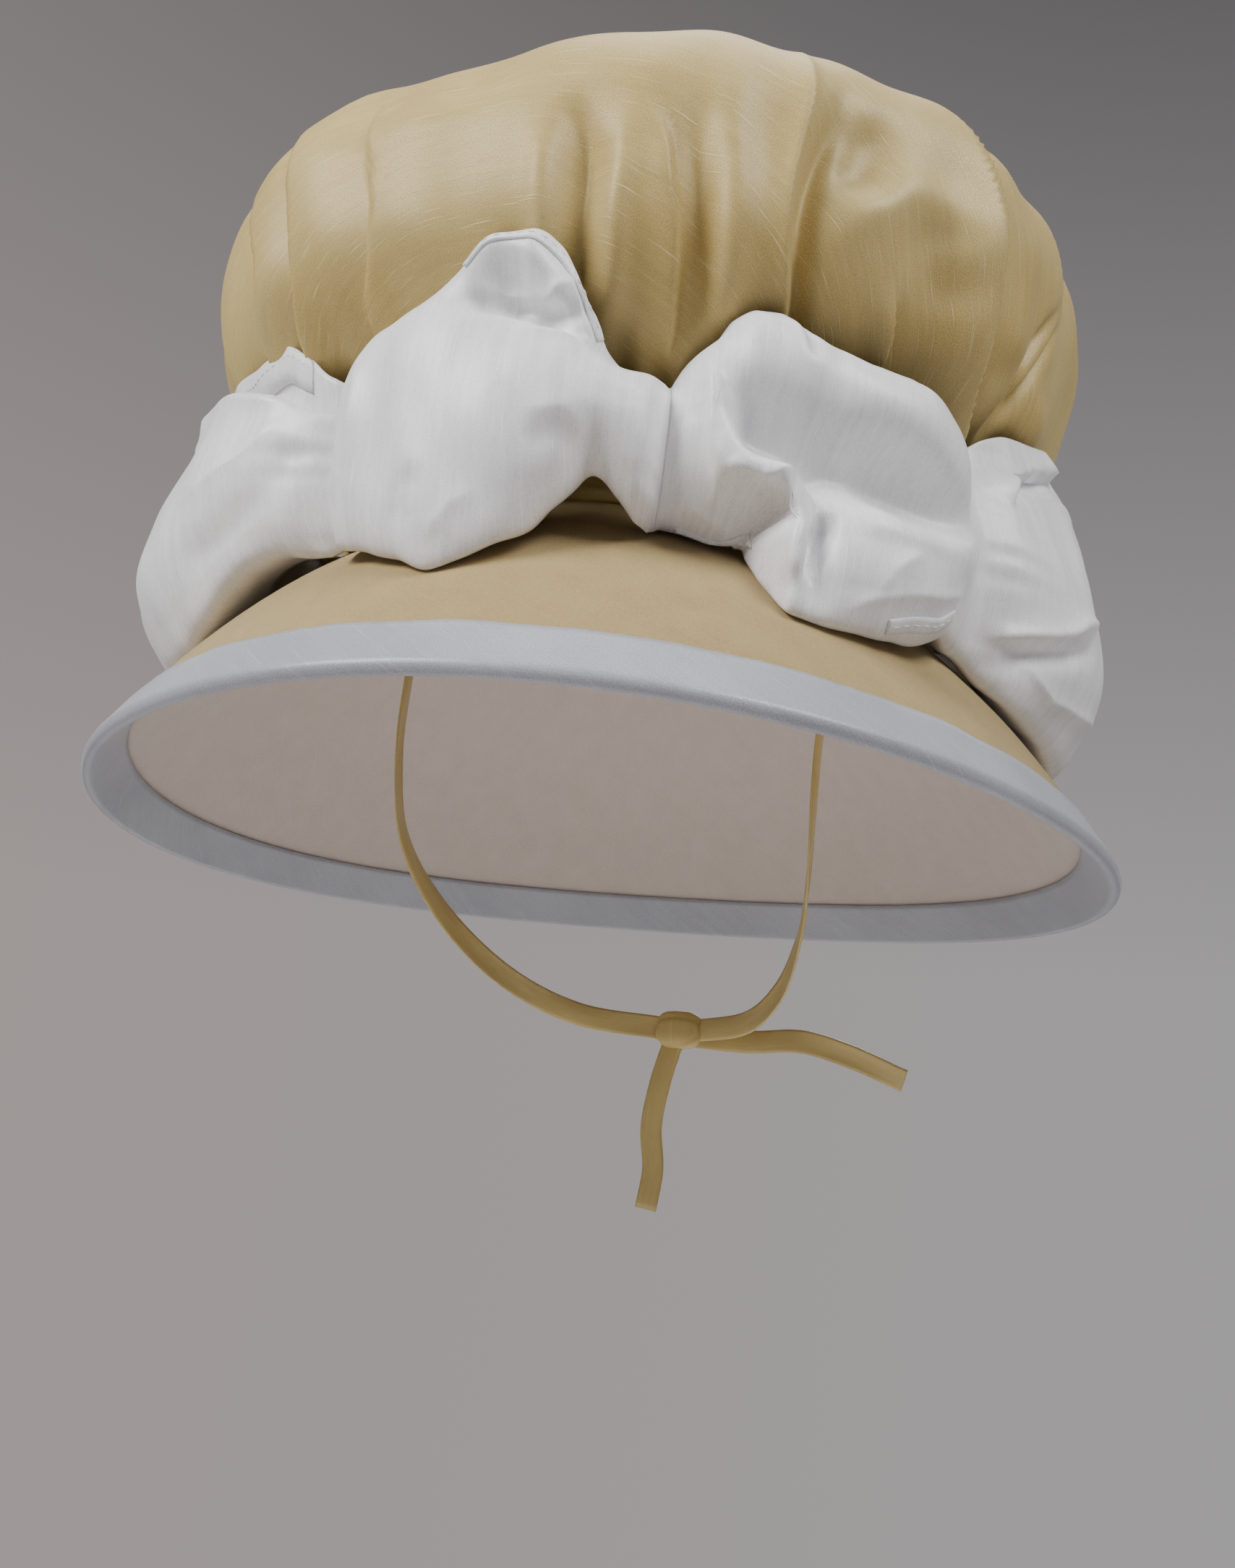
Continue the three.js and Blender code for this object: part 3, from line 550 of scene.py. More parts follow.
def crowded_columns(relief, angles, count):
    """Columns that crowd where the relief is steep, and a little on the side that is seen: on each
    row, equal shares of the running sum of one plus the smoothed slope, so that a fold's edge gets
    many narrow faces."""
    slope = np.abs(np.roll(relief, -1, axis=1) - np.roll(relief, 1, axis=1))
    slope = np.minimum(slope, np.percentile(slope, STEEPEST))
    level, upright = (np.hanning(2 * half + 1) for half in SLOPE_BLUR)
    wide = np.pad(slope, ((0, 0), (SLOPE_BLUR[0],) * 2), "wrap")
    slope = np.array([np.convolve(row, level / level.sum(), "valid") for row in wide])
    tall = np.pad(slope, ((SLOPE_BLUR[1],) * 2, (0, 0)), "edge")
    slope = sum(w * tall[i:i + len(slope)] for i, w in enumerate(upright / upright.sum()))
    seen = 1 + SEEN_PULL * np.exp(-(turn_from(angles, SEEN_SIDE) / SEEN_HALF) ** 4)
    weight = (1 + SLOPE_PULL * slope / slope.max()) * seen
    edges = np.append(angles, angles[0] + 360)
    wanted = np.arange(count) / count
    return np.array([np.interp(wanted, sums(row) / row.cumsum()[-1], edges) for row in weight])


def at_columns(field, angles, columns):
    """A field on even angles, read at each row's own columns."""
    wide = np.append(angles, angles[0] + 360)
    closed = np.concatenate([field, field[:, :1]], axis=1)
    return np.array([np.interp(col, wide, row) for col, row in zip(columns, closed)])


def grid_faces(rows, cols, closed_u, closed_v):
    """Four corners of each face of a grid, as vertex indices and as indices into a UV grid that has
    one more column or row where the grid is closed."""
    r = np.arange(rows if closed_v else rows - 1)[:, None]
    c = np.arange(cols if closed_u else cols - 1)[None, :]

    def corners(next_r, next_c, width):
        ring = ((r, c), (r, next_c), (next_r, next_c), (next_r, c))
        return np.stack([(i * width + j).ravel() for i, j in ring], axis=1)

    faces = corners((r + 1) % rows, (c + 1) % cols, cols)
    return faces, corners(r + 1, c + 1, cols + 1 if closed_u else cols)


def capped_faces(rows, cols, start=0, flip=False):
    """The faces of a grid that is closed along its rows, and one over each of its two ends."""
    way = -1 if flip else 1
    sides = grid_faces(rows, cols, True, False)[0] + start
    low = np.arange(start, start + cols)
    high = low + (rows - 1) * cols
    return [*sides[:, ::way].tolist(), low[::-way].tolist(), high[::way].tolist()]


def uv_grid(u, v):
    """A grid of UV places from u and v, one of which changes along a row and one down a column."""
    return np.stack(np.broadcast_arrays(u, v), axis=-1)


def round_section(points):
    """The running length round a closed section, read at its first column."""
    return arc_of(np.concatenate([points, points[:1]]))[:, :1]


def add_mesh(name, points, faces, uv, finish, slot=None):
    """Puts points, faces as rows of indices, and a UV for each face corner into a new smooth object
    at the origin, with millimetres turned to metres. A piece with a slot rides on the body."""
    mesh = bpy.data.meshes.new(name)
    mesh.from_pydata(np.asarray(points, float) * MM, [], faces)
    layer = mesh.uv_layers.new(name="cloth")
    layer.data.foreach_set("uv", np.asarray(uv * MM, np.float32).ravel())
    mesh.polygons.foreach_set("use_smooth", np.ones(len(mesh.polygons), bool))
    mesh.materials.append(finish)
    mesh.validate()
    mesh.update()
    piece = bpy.data.objects.new(name, mesh)
    bpy.context.scene.collection.objects.link(piece)
    if slot:
        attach(piece, BODY)
    return piece


def add_grid(name, points, uv, finish, slot, closed=True, flip=False):
    """A surface of two parameters that is closed both ways or not at all: points are rows by
    columns, and uv has one more column and row where the surface is closed."""
    faces, places = grid_faces(*points.shape[:2], closed, closed)
    if flip:
        faces, places = faces[:, ::-1], places[:, ::-1]
    corners = uv.reshape(-1, 2)[places.reshape(-1)]
    return add_mesh(name, points.reshape(-1, 3), faces, corners, finish, slot)


def add_capped(name, points, uv, finish, slot, flip=False):
    """A surface that is closed along its rows, with a flat face over each end."""
    rows, cols = points.shape[:2]
    places = grid_faces(rows, cols, True, False)[1][:, ::-1 if flip else 1]
    corners = uv.reshape(-1, 2)[places.reshape(-1)]
    corners = np.concatenate([corners, np.zeros((2 * cols, 2))])
    faces = capped_faces(rows, cols, flip=flip)
    return add_mesh(name, points.reshape(-1, 3), faces, corners, finish, slot)


def thicken(piece, wall):
    """Gives a sheet its wall, inwards from its outer face."""
    solid = piece.modifiers.new("wall", "SOLIDIFY")
    solid.thickness = wall * MM
    solid.offset = -1
    solid.use_even_offset = False
    solid.use_rim = True


# Materials

def tree_of(name):
    """A new material, its node tree and its main shader."""
    made = bpy.data.materials.new(name)
    made.use_nodes = True
    tree = made.node_tree
    return made, tree, tree.nodes["Principled BSDF"]


def set_sockets(node, **values):
    """Sets a node's input sockets, named with an underscore for each space."""
    for name, value in values.items():
        node.inputs[name.replace("_", " ")].default_value = value


def stretched_noise(tree, source, scale, detail=2.0, rough=0.5, turn=0.0):
    """Noise on coordinates that are turned, then scaled along each axis, in cycles a metre."""
    spin = tree.nodes.new("ShaderNodeMapping")
    set_sockets(spin, Rotation=(0, 0, math.radians(turn)))
    tree.links.new(source, spin.inputs["Vector"])
    stretch = tree.nodes.new("ShaderNodeMapping")
    set_sockets(stretch, Scale=scale)
    tree.links.new(spin.outputs["Vector"], stretch.inputs["Vector"])
    noise = tree.nodes.new("ShaderNodeTexNoise")
    set_sockets(noise, Scale=1.0, Detail=detail, Roughness=rough)
    tree.links.new(stretch.outputs["Vector"], noise.inputs["Vector"])
    return noise.outputs["Fac"]


def remap(tree, value, low, high, to_low=0.0, to_high=1.0):
    """A value carried from one range to another and held inside it."""
    node = tree.nodes.new("ShaderNodeMapRange")
    set_sockets(node, From_Min=low, From_Max=high, To_Min=to_low, To_Max=to_high)
    tree.links.new(value, node.inputs["Value"])
    return node.outputs["Result"]


def blend_colours(tree, share, first, second):
    """A mix of two colours, each a colour or a socket, by a share from 0 to 1."""
    node = tree.nodes.new("ShaderNodeMix")
    node.data_type = "RGBA"
    tree.links.new(share, node.inputs["Factor"])
    for socket, value in ((node.inputs[6], first), (node.inputs[7], second)):
        if isinstance(value, bpy.types.NodeSocket):
            tree.links.new(value, socket)
        else:
            socket.default_value = (*value, 1)
    return node.outputs[2]


def shaded(tree, colour, layers):
    """A colour with shades laid over it. Each layer is a field, the two values of the field between
    which its shade comes in, the most that it covers, and the shade."""
    for field, low, high, most, shade in layers:
        colour = blend_colours(tree, remap(tree, field, low, high, 0, most), colour, shade)
    return colour


def add_bump(tree, shader, heights):
    """One bump node after another, each with its height field, strength and distance in metres."""
    last = None
    for height, strength, distance in heights:
        bump = tree.nodes.new("ShaderNodeBump")
        set_sockets(bump, Strength=strength, Distance=distance)
        tree.links.new(height, bump.inputs["Height"])
        if last is not None:
            tree.links.new(last, bump.inputs["Normal"])
        last = bump.outputs["Normal"]
    tree.links.new(last, shader.inputs["Normal"])


def linear(red, green, blue):
    """A screen colour of 0 to 255 as linear light."""
    return tuple(((c / 255 + 0.055) / 1.055) ** 2.4 if c > 10 else c / 3294
                 for c in (red, green, blue))


def silk(name, colours, along, rough, sheen, tint, slub=1.0, turn=0.0, band=0.6, grain=0.8):
    """Shantung silk on the piece's own UV in metres: sparse thin slubs that run along u or v, a
    broad uneven dye, a fine grain of crossings that varies the bump and the roughness, with painted
    glints of light on its pale specks, and a soft satin sheen. Its colours are the cloth's own, a
    pale and a deep one; the pale one also paints the glints."""
    made, tree, shader = tree_of(name)
    colour, pale, deep = (linear(*c) for c in colours)
    uv = tree.nodes.new("ShaderNodeTexCoord").outputs["UV"]

    def field(fine, coarse, detail=1.0, roughness=0.5):
        scale = (coarse, fine, 1) if along == "u" else (fine, coarse, 1)
        return stretched_noise(tree, uv, scale, detail, roughness, turn)

    slubs = field(820, 32)
    threads = field(1300, 160)
    bands = field(230, 16, 2.0)
    weave_and_glints = field(2100, 1300, 2.0, 0.7)
    cloud = field(12, 12, 3.0, 0.55)
    streak = remap(tree, slubs, 0.63, 0.74)
    tone = shaded(tree, colour, [
        (bands, 0.35, 0.7, band, deep),
        (cloud, 0.4, 0.75, 0.5, pale),
        (threads, 0.5, 0.75, 0.45, deep),
        (streak, 0, 1, 0.8 * slub, pale),
        # Pale specks of the weave: painted glints of light where its threads cross.
        (weave_and_glints, 0.5, 0.66, grain, pale),
        (weave_and_glints, 0.5, 0.36, 0.7 * grain, deep),
    ])
    tree.links.new(tone, shader.inputs["Base Color"])
    gloss = remap(tree, weave_and_glints, 0.36, 0.64, rough + 0.14, rough - 0.1)
    tree.links.new(gloss, shader.inputs["Roughness"])
    set_sockets(shader, Specular_IOR_Level=0.4, Specular_Tint=(*tint, 1), Sheen_Weight=sheen,
                Sheen_Roughness=0.35, Sheen_Tint=(*tint, 1))
    add_bump(tree, shader, [(streak, 0.35 * slub, 0.0002), (threads, 0.12, 0.0002),
                            (weave_and_glints, 0.38 * grain, 0.00014)])
    return made


def matt_cloth(name, colours, rough, sheen, turn):
    """Napped or plain cloth on the piece's own UV in metres: a soft mottle, short fibres in two
    directions and a faint crossing thread. Its colours are the cloth's own, a pale and a deep
    one."""
    made, tree, shader = tree_of(name)
    colour, pale, deep = (linear(*c) for c in colours)
    uv = tree.nodes.new("ShaderNodeTexCoord").outputs["UV"]
    mottle = stretched_noise(tree, uv, (60, 60, 1), 3.0, 0.6, turn)
    nap = stretched_noise(tree, uv, (700, 700, 1), 3.0, 0.7, turn)
    warp = stretched_noise(tree, uv, (2400, 300, 1), 1.0, 0.5, turn)
    weft = stretched_noise(tree, uv, (240, 2400, 1), 1.0, 0.5, turn)
    slubs = stretched_noise(tree, uv, (14, 500, 1), 2.0, 0.5, turn)
    tone = shaded(tree, colour, [
        (mottle, 0.3, 0.7, 1.0, deep),
        (nap, 0.35, 0.7, 0.6, pale),
        (slubs, 0.62, 0.74, 0.3, pale),
    ])
    tree.links.new(tone, shader.inputs["Base Color"])
    gloss = remap(tree, nap, 0.3, 0.7, rough - 0.06, rough + 0.08)
    tree.links.new(gloss, shader.inputs["Roughness"])
    set_sockets(shader, Specular_IOR_Level=0.3, Sheen_Weight=sheen, Sheen_Roughness=0.5)
    add_bump(tree, shader, [(nap, 0.3, 0.0004), (warp, 0.25, 0.00015), (weft, 0.25, 0.00015)])
    return made


WARM = (1.0, 0.86, 0.62)
NEUTRAL = (1.0, 1.0, 1.0)

butter_silk = silk("butter_silk", [(185, 160, 99), (206, 188, 137), (166, 141, 80)], "u",
                   0.45, 0.1, WARM, slub=1.3)
white_silk = silk("white_silk", [(243, 241, 242), (255, 254, 254), (208, 206, 209)], "v",
                  0.36, 0.1, NEUTRAL, band=0.5, grain=0.6)
binding_silk = silk("binding_silk", [(158, 159, 165), (190, 191, 197), (146, 147, 154)], "u",
                    0.34, 0.2, NEUTRAL, slub=0.5, turn=38)
brim_cloth = matt_cloth("brim_cloth", [(162, 140, 93), (177, 156, 112), (151, 128, 81)],
                        0.85, 0.12, turn=30)
lining_cloth = matt_cloth("lining_cloth", [(200, 185, 173), (210, 198, 187), (192, 177, 164)],
                          0.78, 0.2, turn=45)
tie_silk = silk("tie_silk", [(204, 179, 114), (224, 206, 154), (190, 162, 96)], "v",
                0.34, 0.2, WARM, slub=0.5, grain=0.25)


# Crown

def crown_rows(count):
    """Rows at equal steps of arc up the crown's profile: the smooth curve through CROWN_ROWS, cut
    at its top point. Gives the arc, and height, half width, half depth and lean of each row."""
    rows = np.array(CROWN_ROWS, float)
    chord = sums(np.hypot(*np.diff(rows[:, :2], axis=0).T))
    fine = through(chord, rows, np.linspace(0, chord[-2], 3000))
    arc = sums(np.hypot(np.diff(fine[:, 0]), np.diff(fine[:, 1])))
    even = np.linspace(0, arc[-1], count)
    return even, np.stack([np.interp(even, arc, fine[:, k]) for k in range(4)], axis=1)


def crown_relief(angles, height, radius, to_arc):
    """The crown's relief over angle and arc up its profile: its folds, small gathers that are sines
    round its foot, and shallow random wrinkles over its side."""
    folds = [(kind, size, width, [(a, to_arc(h)) for a, h in path])
             for kind, size, width, path in CROWN_FOLDS]
    relief = fold_relief(folds, angles, height, radius, CROWN_FADE_IN)
    rise = lambda low, high: ease(to_arc(low), to_arc(high), height)
    turn = np.radians(angles)
    gathers = np.sin(turn * GATHER_COUNT + 2.2 * np.sin(turn * 5))
    relief += GATHER_HEIGHT * gathers * (1 - rise(30, 75)) * rise(13, 22)
    wrinkles = ripple(turn * CROWN_RADIUS * 1.6, height * 0.6, WRINKLE_SIZE, seed=3)
    relief += WRINKLE_HEIGHT * wrinkles * rise(40, 90) * (1 - rise(150, 214))
    return relief


def top_dent(angle, z):
    """How far the broad dent in front presses in: a bell of angle less a wider and lower one, which
    comes in with height."""
    middle, depth, half, low, rise = TOP_DENT
    off = turn_from(angle, middle) / half
    return depth * (np.exp(-off ** 2 / 2) - 0.45 * np.exp(-off ** 2 / 8)) * ease(low, low + rise, z)


def make_crown():
    """The crown: a surface of arc up the profile and angle round it. Each row is an ellipse, less
    the broad dent in front, and the folds' relief moves it along its normal. Its cloth is flat as a
    circle, so its UV is the arc from the top laid out in the angle's direction."""
    arc, rows = crown_rows(CROWN_GRID_ROWS)
    z, half_width, half_depth, lean = rows.T[..., None]
    to_arc = lambda height: np.interp(height, z[:-1, 0], arc[:-1])
    angles = np.linspace(-180, 180, CROWN_FINE_COLUMNS, endpoint=False)
    even = np.ones(len(angles))
    radius = np.maximum((half_width + half_depth) / 2, CROWN_LEAST_RADIUS)
    relief = crown_relief(angles, arc[:, None] * even, radius * even, to_arc)
    columns = crowded_columns(relief, angles, CROWN_GRID_COLUMNS)
    relief = at_columns(relief, angles, columns)[..., None]
    inward = top_dent(columns, z) * ease(0, TOP_EASE, half_width)
    points = ellipse(columns, half_width - inward, half_depth - inward, z)
    points[..., 0] += lean
    x, y = points[..., 0], points[..., 1]
    top_waves = ease(200, 216, z) * ripple(x, y, TOP_WAVE_SIZE, seed=11, waves=5)
    top_waves = TOP_WAVE_HEIGHT * top_waves * ease(0, TOP_EASE, np.hypot(x, y))
    normal = outward(points)
    normal[-2:] = (0, 0, 1)
    points = points + normal * relief
    points[..., 2] += top_waves
    from_top = arc[-1] - arc[:, None]
    uv = ellipse(np.concatenate([columns, columns[:, :1] + 360], axis=1), from_top, from_top, 0)
    uv = uv[:-1, :, :2]
    # The last row closes on one point at the top.
    body = points[:-1]
    count = body[..., 0].size
    tip = (rows[-1, 3], 0, rows[-1, 0])
    faces, places = grid_faces(*body.shape[:2], True, False)
    ring = np.arange(count - CROWN_GRID_COLUMNS, count)
    fan = np.stack([ring, np.roll(ring, -1), np.full_like(ring, count)], axis=1)
    fan_uv = np.stack([uv[-1, :-1], uv[-1, 1:], np.zeros((CROWN_GRID_COLUMNS, 2))], axis=1)
    corners = np.concatenate([uv.reshape(-1, 2)[places.ravel()], fan_uv.reshape(-1, 2)])
    piece = add_mesh("crown_cloth", np.concatenate([body.reshape(-1, 3), [tip]]),
                     faces.tolist() + fan.tolist(), corners, butter_silk, "crown_silk")
    thicken(piece, CROWN_WALL)
    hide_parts("crown")


# Brim

def brim_point(angle, from_rim, lift):
    """A point of the brim: a straight slant from the opening to the rim, raised along its normal by
    a swell that is a half sine along the slant, and by the lift."""
    inner = ellipse(angle, OPENING_HALF_WIDTH, OPENING_HALF_DEPTH, 0)
    rim_z = -RIM_DROP + RIM_SIDE_DIP * np.cos(np.radians(2 * angle))
    rim = ellipse(angle, RIM_HALF_WIDTH, RIM_HALF_DEPTH, rim_z)
    slant = rim - inner
    length = np.linalg.norm(slant, axis=-1)
    turn = np.radians(angle)
    around = np.stack([np.cos(turn), np.sin(turn), 0 * turn], axis=-1)
    normal = unit(np.cross(slant, around))
    normal *= np.sign(normal[..., 2:])
    share = np.maximum(0, 1 - from_rim / length)
    swell = BRIM_SWELL * np.sin(np.pi * share)
    return inner + slant * share[..., None] + normal * (swell + lift)[..., None]


def brim_height(angle, radius):
    """The height of the brim's top face under a point at an angle and radius."""
    inner = brim_point(angle, AT_OPENING, np.zeros_like(angle))
    rim = brim_point(angle, 0 * angle, np.zeros_like(angle))
    inner_radius, rim_radius = (np.hypot(p[..., 0], p[..., 1]) for p in (inner, rim))
    share = (radius - inner_radius) / (rim_radius - inner_radius)
    return share * rim[..., 2] + BRIM_SWELL * math.sqrt(2) * np.sin(np.pi * share)


def brim_shell(name, section, finish, slot, lift=None):
    """Carries a closed section of insets from the rim and lifts off the top face round the brim.
    Its UV is the length round the rim and the running length of the section."""
    inset, height = np.array(section, float).T[..., None] * np.ones(BRIM_COLUMNS)
    angles = np.linspace(-180, 180, BRIM_COLUMNS, endpoint=False) * np.ones_like(inset)
    if lift is not None:
        height = height + lift(angles, inset, height)
    points = brim_point(angles, inset, height)
    round_rim = np.linspace(0, 2 * math.pi * RIM_RADIUS, BRIM_COLUMNS + 1)
    uv = uv_grid(round_rim, round_section(points))
    return add_grid(name, points, uv, finish, slot, flip=True)


def flat_section(top, wall):
    """A section that runs flat from the rim to the opening, over its top face and back under it."""
    stations = np.concatenate([[EDGE_INSET], np.linspace(10, 176, 20), [AT_OPENING]])
    return [(s, top) for s in stations] + [(s, top - wall) for s in stations[::-1]]


def make_brim():
    """The brim and its lining, each one closed section carried round."""
    brim = brim_shell("brim_cloth_top", flat_section(0.0, BRIM_WALL), brim_cloth, "brim_cloth")
    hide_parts("brim")
    lining = brim_shell("brim_lining_cloth", flat_section(-BRIM_WALL - SEAM_GAP, LINING_WALL),
                        lining_cloth, "lining_cloth")
    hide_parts("brim_lining")


def binding_section():
    """A U that wraps the rim, its outer line and then its inner one: two flat sides and a round
    fold outside."""
    top_face = SEAM_GAP + BINDING_WALL
    under_face = -(BRIM_WALL + SEAM_GAP + LINING_WALL + SEAM_GAP + BINDING_WALL)
    middle = (top_face + under_face) / 2
    half = (top_face - under_face) / 2
    arc = np.radians(np.linspace(-80, 80, 9))
    fold = lambda wall, turn: [(BINDING_TURN - (BINDING_TURN - wall) * math.cos(a),
                                middle + (half - wall) * math.sin(a)) for a in turn]
    side = lambda height, way: [(s, height) for s in BINDING_STATIONS[::way]]
    outer = side(under_face, 1) + fold(0, arc) + side(top_face, -1)
    inner = side(top_face - BINDING_WALL, 1) + fold(BINDING_WALL, arc[::-1]) \
        + side(under_face + BINDING_WALL, -1)
    return outer + inner


def pucker(angle, inset, height):
    """A slight pucker of the binding's top side that grows towards its sewn edge: two random
    reliefs over the length round the rim and the inset."""
    along = np.radians(angle) * RIM_RADIUS
    waves = ripple(along, inset * 2, 34, seed=21) * 0.25
    waves = waves + ripple(along, inset * 3, 11, seed=22) * 0.1
    return waves * ease(4, 22, inset) * (np.sign(height + 2) * 0.5 + 0.5)


def make_binding():
    """The satin binding round the rim."""
    piece = brim_shell("binding_cloth", binding_section(), binding_silk, "binding_satin", pucker)
    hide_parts("brim_binding")


# Base band

def make_base_band():
    """The creased silk ring at the crown's foot: a closed section with two soft creases, carried
    round on an ellipse, that wander a little as they go."""
    angles = np.linspace(-180, 180, BAND_COLUMNS, endpoint=False)
    turn = np.radians(angles)
    slope = RIM_DROP / (RIM_HALF_WIDTH - OPENING_HALF_WIDTH)
    _, start_width, start_depth, _ = CROWN_ROWS[0]
    foot = lambda out: BAND_FOOT - slope * (out + start_width - OPENING_HALF_WIDTH)
    wander = 0.5 * np.sin(turn * 9 + 1) + 0.35 * np.sin(turn * 23)
    section = []
    for share, bulge in BAND_PROFILE:
        z = foot(BAND_OUT) + (BAND_TOP - foot(BAND_OUT)) * share
        crease = bell(share - 0.5, BAND_CREASE)
        section.append((BAND_OUT + bulge - BAND_PLEAT * crease * np.sin(turn * 31),
                        z + wander * crease))
    section += [(BAND_IN, BAND_TOP), (BAND_IN, foot(BAND_IN))]
    points = np.stack([ellipse(angles, start_width + out, start_depth + out, z)
                       for out, z in section])
    uv = uv_grid(round_section(points), np.linspace(0, BAND_LENGTH, BAND_COLUMNS + 1))
    piece = add_grid("base_band_cloth", points, uv, tie_silk, "crown_silk")
    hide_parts("crown_base_band")


# Sash

def crown_radius(z):
    """The crown's greater half width at a height, for what lies against it."""
    rows = np.array(CROWN_ROWS[:-2], float)
    return np.interp(z, rows[:, 0], np.maximum(rows[:, 1], rows[:, 2]))


def rear_sections():
    """Nine places at a few shares of each puff behind the left ear: pinched at both ends and
    swollen between them, with edges that follow a hump and a round belly between the edges."""
    shares = np.array(REAR_SHARES)
    arch = np.sin(np.pi * shares)
    t = np.linspace(0, 1, 9)[:, None]
    turn = (t - 0.5) * np.pi
    sections = []
    for puff, start, end in zip(REAR_PUFFS, REAR_PINCHES[:-1], REAR_PINCHES[1:]):
        start, end = np.array(start, float)[:, None], np.array(end, float)[:, None]
        top, top_at, bottom, bottom_at, outer, hem = puff
        angle, pinch_top, pinch_bottom, neck, pinch_hem = start + (end - start) * shares
        hump = lambda at: arch ** 0.8 * (0.4 + 0.6 * bell(shares - at, 0.3))
        z_top = pinch_top + (top - pinch_top) * hump(top_at)
        hem_radius = pinch_hem + (hem - pinch_hem) * hump(bottom_at)
        sag = pinch_bottom + (bottom - pinch_bottom) * hump(bottom_at)
        z_bottom = np.maximum(sag, brim_height(angle, hem_radius) + HEM_SEAT)
        neck_radius = np.maximum(neck, crown_radius(z_top) + NECK_GAP)
        swell = neck + (outer - neck) * arch ** 0.55 - (hem_radius + neck_radius) / 2
        swell = np.maximum(LEAST_SWELL, swell)
        radius = hem_radius + (neck_radius - hem_radius) * t \
            + swell * np.maximum(np.cos(turn), 0) ** 0.8
        z = z_bottom + (z_top - z_bottom) * (1 + np.sin(turn)) / 2
        places = np.stack([radius, z], axis=-1).transpose(1, 0, 2).reshape(-1, 18)
        sections += [(at, *row) for at, row in zip(angle, places)]
    return sections


def gentle_slopes(knots, values):
    """Slopes that never carry a curve past its points: the harmonic mean of the two chords where
    both rise or both fall, and level elsewhere."""
    chord = np.diff(values, axis=0) / np.diff(knots)[:, None, None]
    before, after = chord[:-1], chord[1:]
    same = before * after > 0
    mean = 2 * before * after / np.where(same, before + after, 1)
    return np.concatenate([chord[:1], np.where(same, mean, 0), chord[-1:]])


def loft(sections, angle):
    """The nine places at any angle: each runs through its sections on cubics with gentle slopes,
    closed round the circle."""
    sections = sorted(sections, key=lambda s: s[0])
    knots = np.array([s[0] for s in sections], float)
    knots = np.concatenate([knots - 360, knots, knots + 360])
    values = np.array([s[1:] for s in sections] * 3, float).reshape(-1, 9, 2)
    return cubic(knots, values, gentle_slopes(knots, values), angle)


def sash_surface(sections, start, end, columns, rows):
    """The points of a length of the sash: a strip of angle round the crown and share up its width.
    Each column is the smooth curve through its section's nine places, columns are spaced by the
    length between them, and the folds' relief moves the surface along its normal."""
    fine = np.linspace(start, end, SASH_FINE_COLUMNS)
    places = loft(sections, fine)
    coarse = ellipse(fine[:, None], places[..., 0], places[..., 0], places[..., 1])
    steps = np.linalg.norm(np.diff(coarse, axis=0), axis=-1)
    run = sums(steps.mean(axis=1) + 0.5 * steps.max(axis=1))
    angle = np.interp(np.linspace(0, run[-1], columns), run, fine)
    places = loft(sections, angle)
    for k in (0, 1):
        seat = brim_height(angle, places[:, k, 0]) + SASH_SEAT
        places[:, k, 1] = np.maximum(places[:, k, 1], seat)
    share = np.interp(np.linspace(0, 1, rows), *zip(*SASH_ROW_SHARES))
    across = through(np.arange(9), places.transpose(1, 0, 2), share)
    radius, z = across[..., 0], across[..., 1]
    points = ellipse(angle[None, :], radius, radius, z)
    column = np.arange(columns)
    inner = ease(0, SASH_END_COLUMNS, np.minimum(column, columns - 1 - column))[None, :, None]
    away = ellipse(angle[None, :], 1, 1, 0)
    normal = outward(points, closed=False) * inner + away * (1 - inner)
    along = np.radians(angle)[None, :] * SASH_RADIUS
    relief = fold_relief(SASH_FOLDS, angle, z, radius, SASH_FADE_IN)
    for depth, stretch, size, seed in SASH_WRINKLES:
        relief += depth * ripple(along, z * stretch, size, seed)
    stretch, size, seed, spread, least, more = GATHERS
    pinches = np.array(FRONT_PINCHES + [p[0] for p in REAR_PINCHES])
    apart = np.min(np.abs(turn_from(angle[None, :], pinches[:, None])), axis=0)
    gathered = least + more * ease(60, 100, np.abs(turn_from(angle, SEEN_SIDE)))
    gathered = (gathered * np.exp(-apart / spread))[None, :]
    relief += ripple(along * stretch, z, size, seed) * gathered
    return points + normal * relief[..., None], angle, z


def read_grid(field, row, col):
    """A grid field between its points: the mix of the four neighbours by their shares."""
    row = np.clip(row, 0, field.shape[0] - 1.001)
    col = np.clip(col, 0, field.shape[1] - 1.001)
    r, c = row.astype(int), col.astype(int)
    fr, fc = (row - r)[..., None], (col - c)[..., None]
    return (field[r, c] * (1 - fc) + field[r, c + 1] * fc) * (1 - fr) \
        + (field[r + 1, c] * (1 - fc) + field[r + 1, c + 1] * fc) * fr


def hem_path(points, angle, z, hem):
    """A hem's path as grid rows and columns in millimetre steps: the grid point nearest to each
    knot, with a pull outwards, joined by a smooth curve. Also gives the size of one row and one
    column."""
    radius = np.hypot(points[..., 0], points[..., 1])
    row_size, col_size = (np.linalg.norm(np.diff(points, axis=k), axis=-1).mean() for k in (0, 1))
    knots = []
    for a, h in hem:
        gap = np.hypot((angle[None, :] - a) * HEM_DEGREE, z - h) - HEM_OUTWARD * radius
        row, col = np.unravel_index(np.argmin(gap), gap.shape)
        knots.append((row * row_size, col * col_size))
    return smooth_path(knots, 1.5), np.array([row_size, col_size])


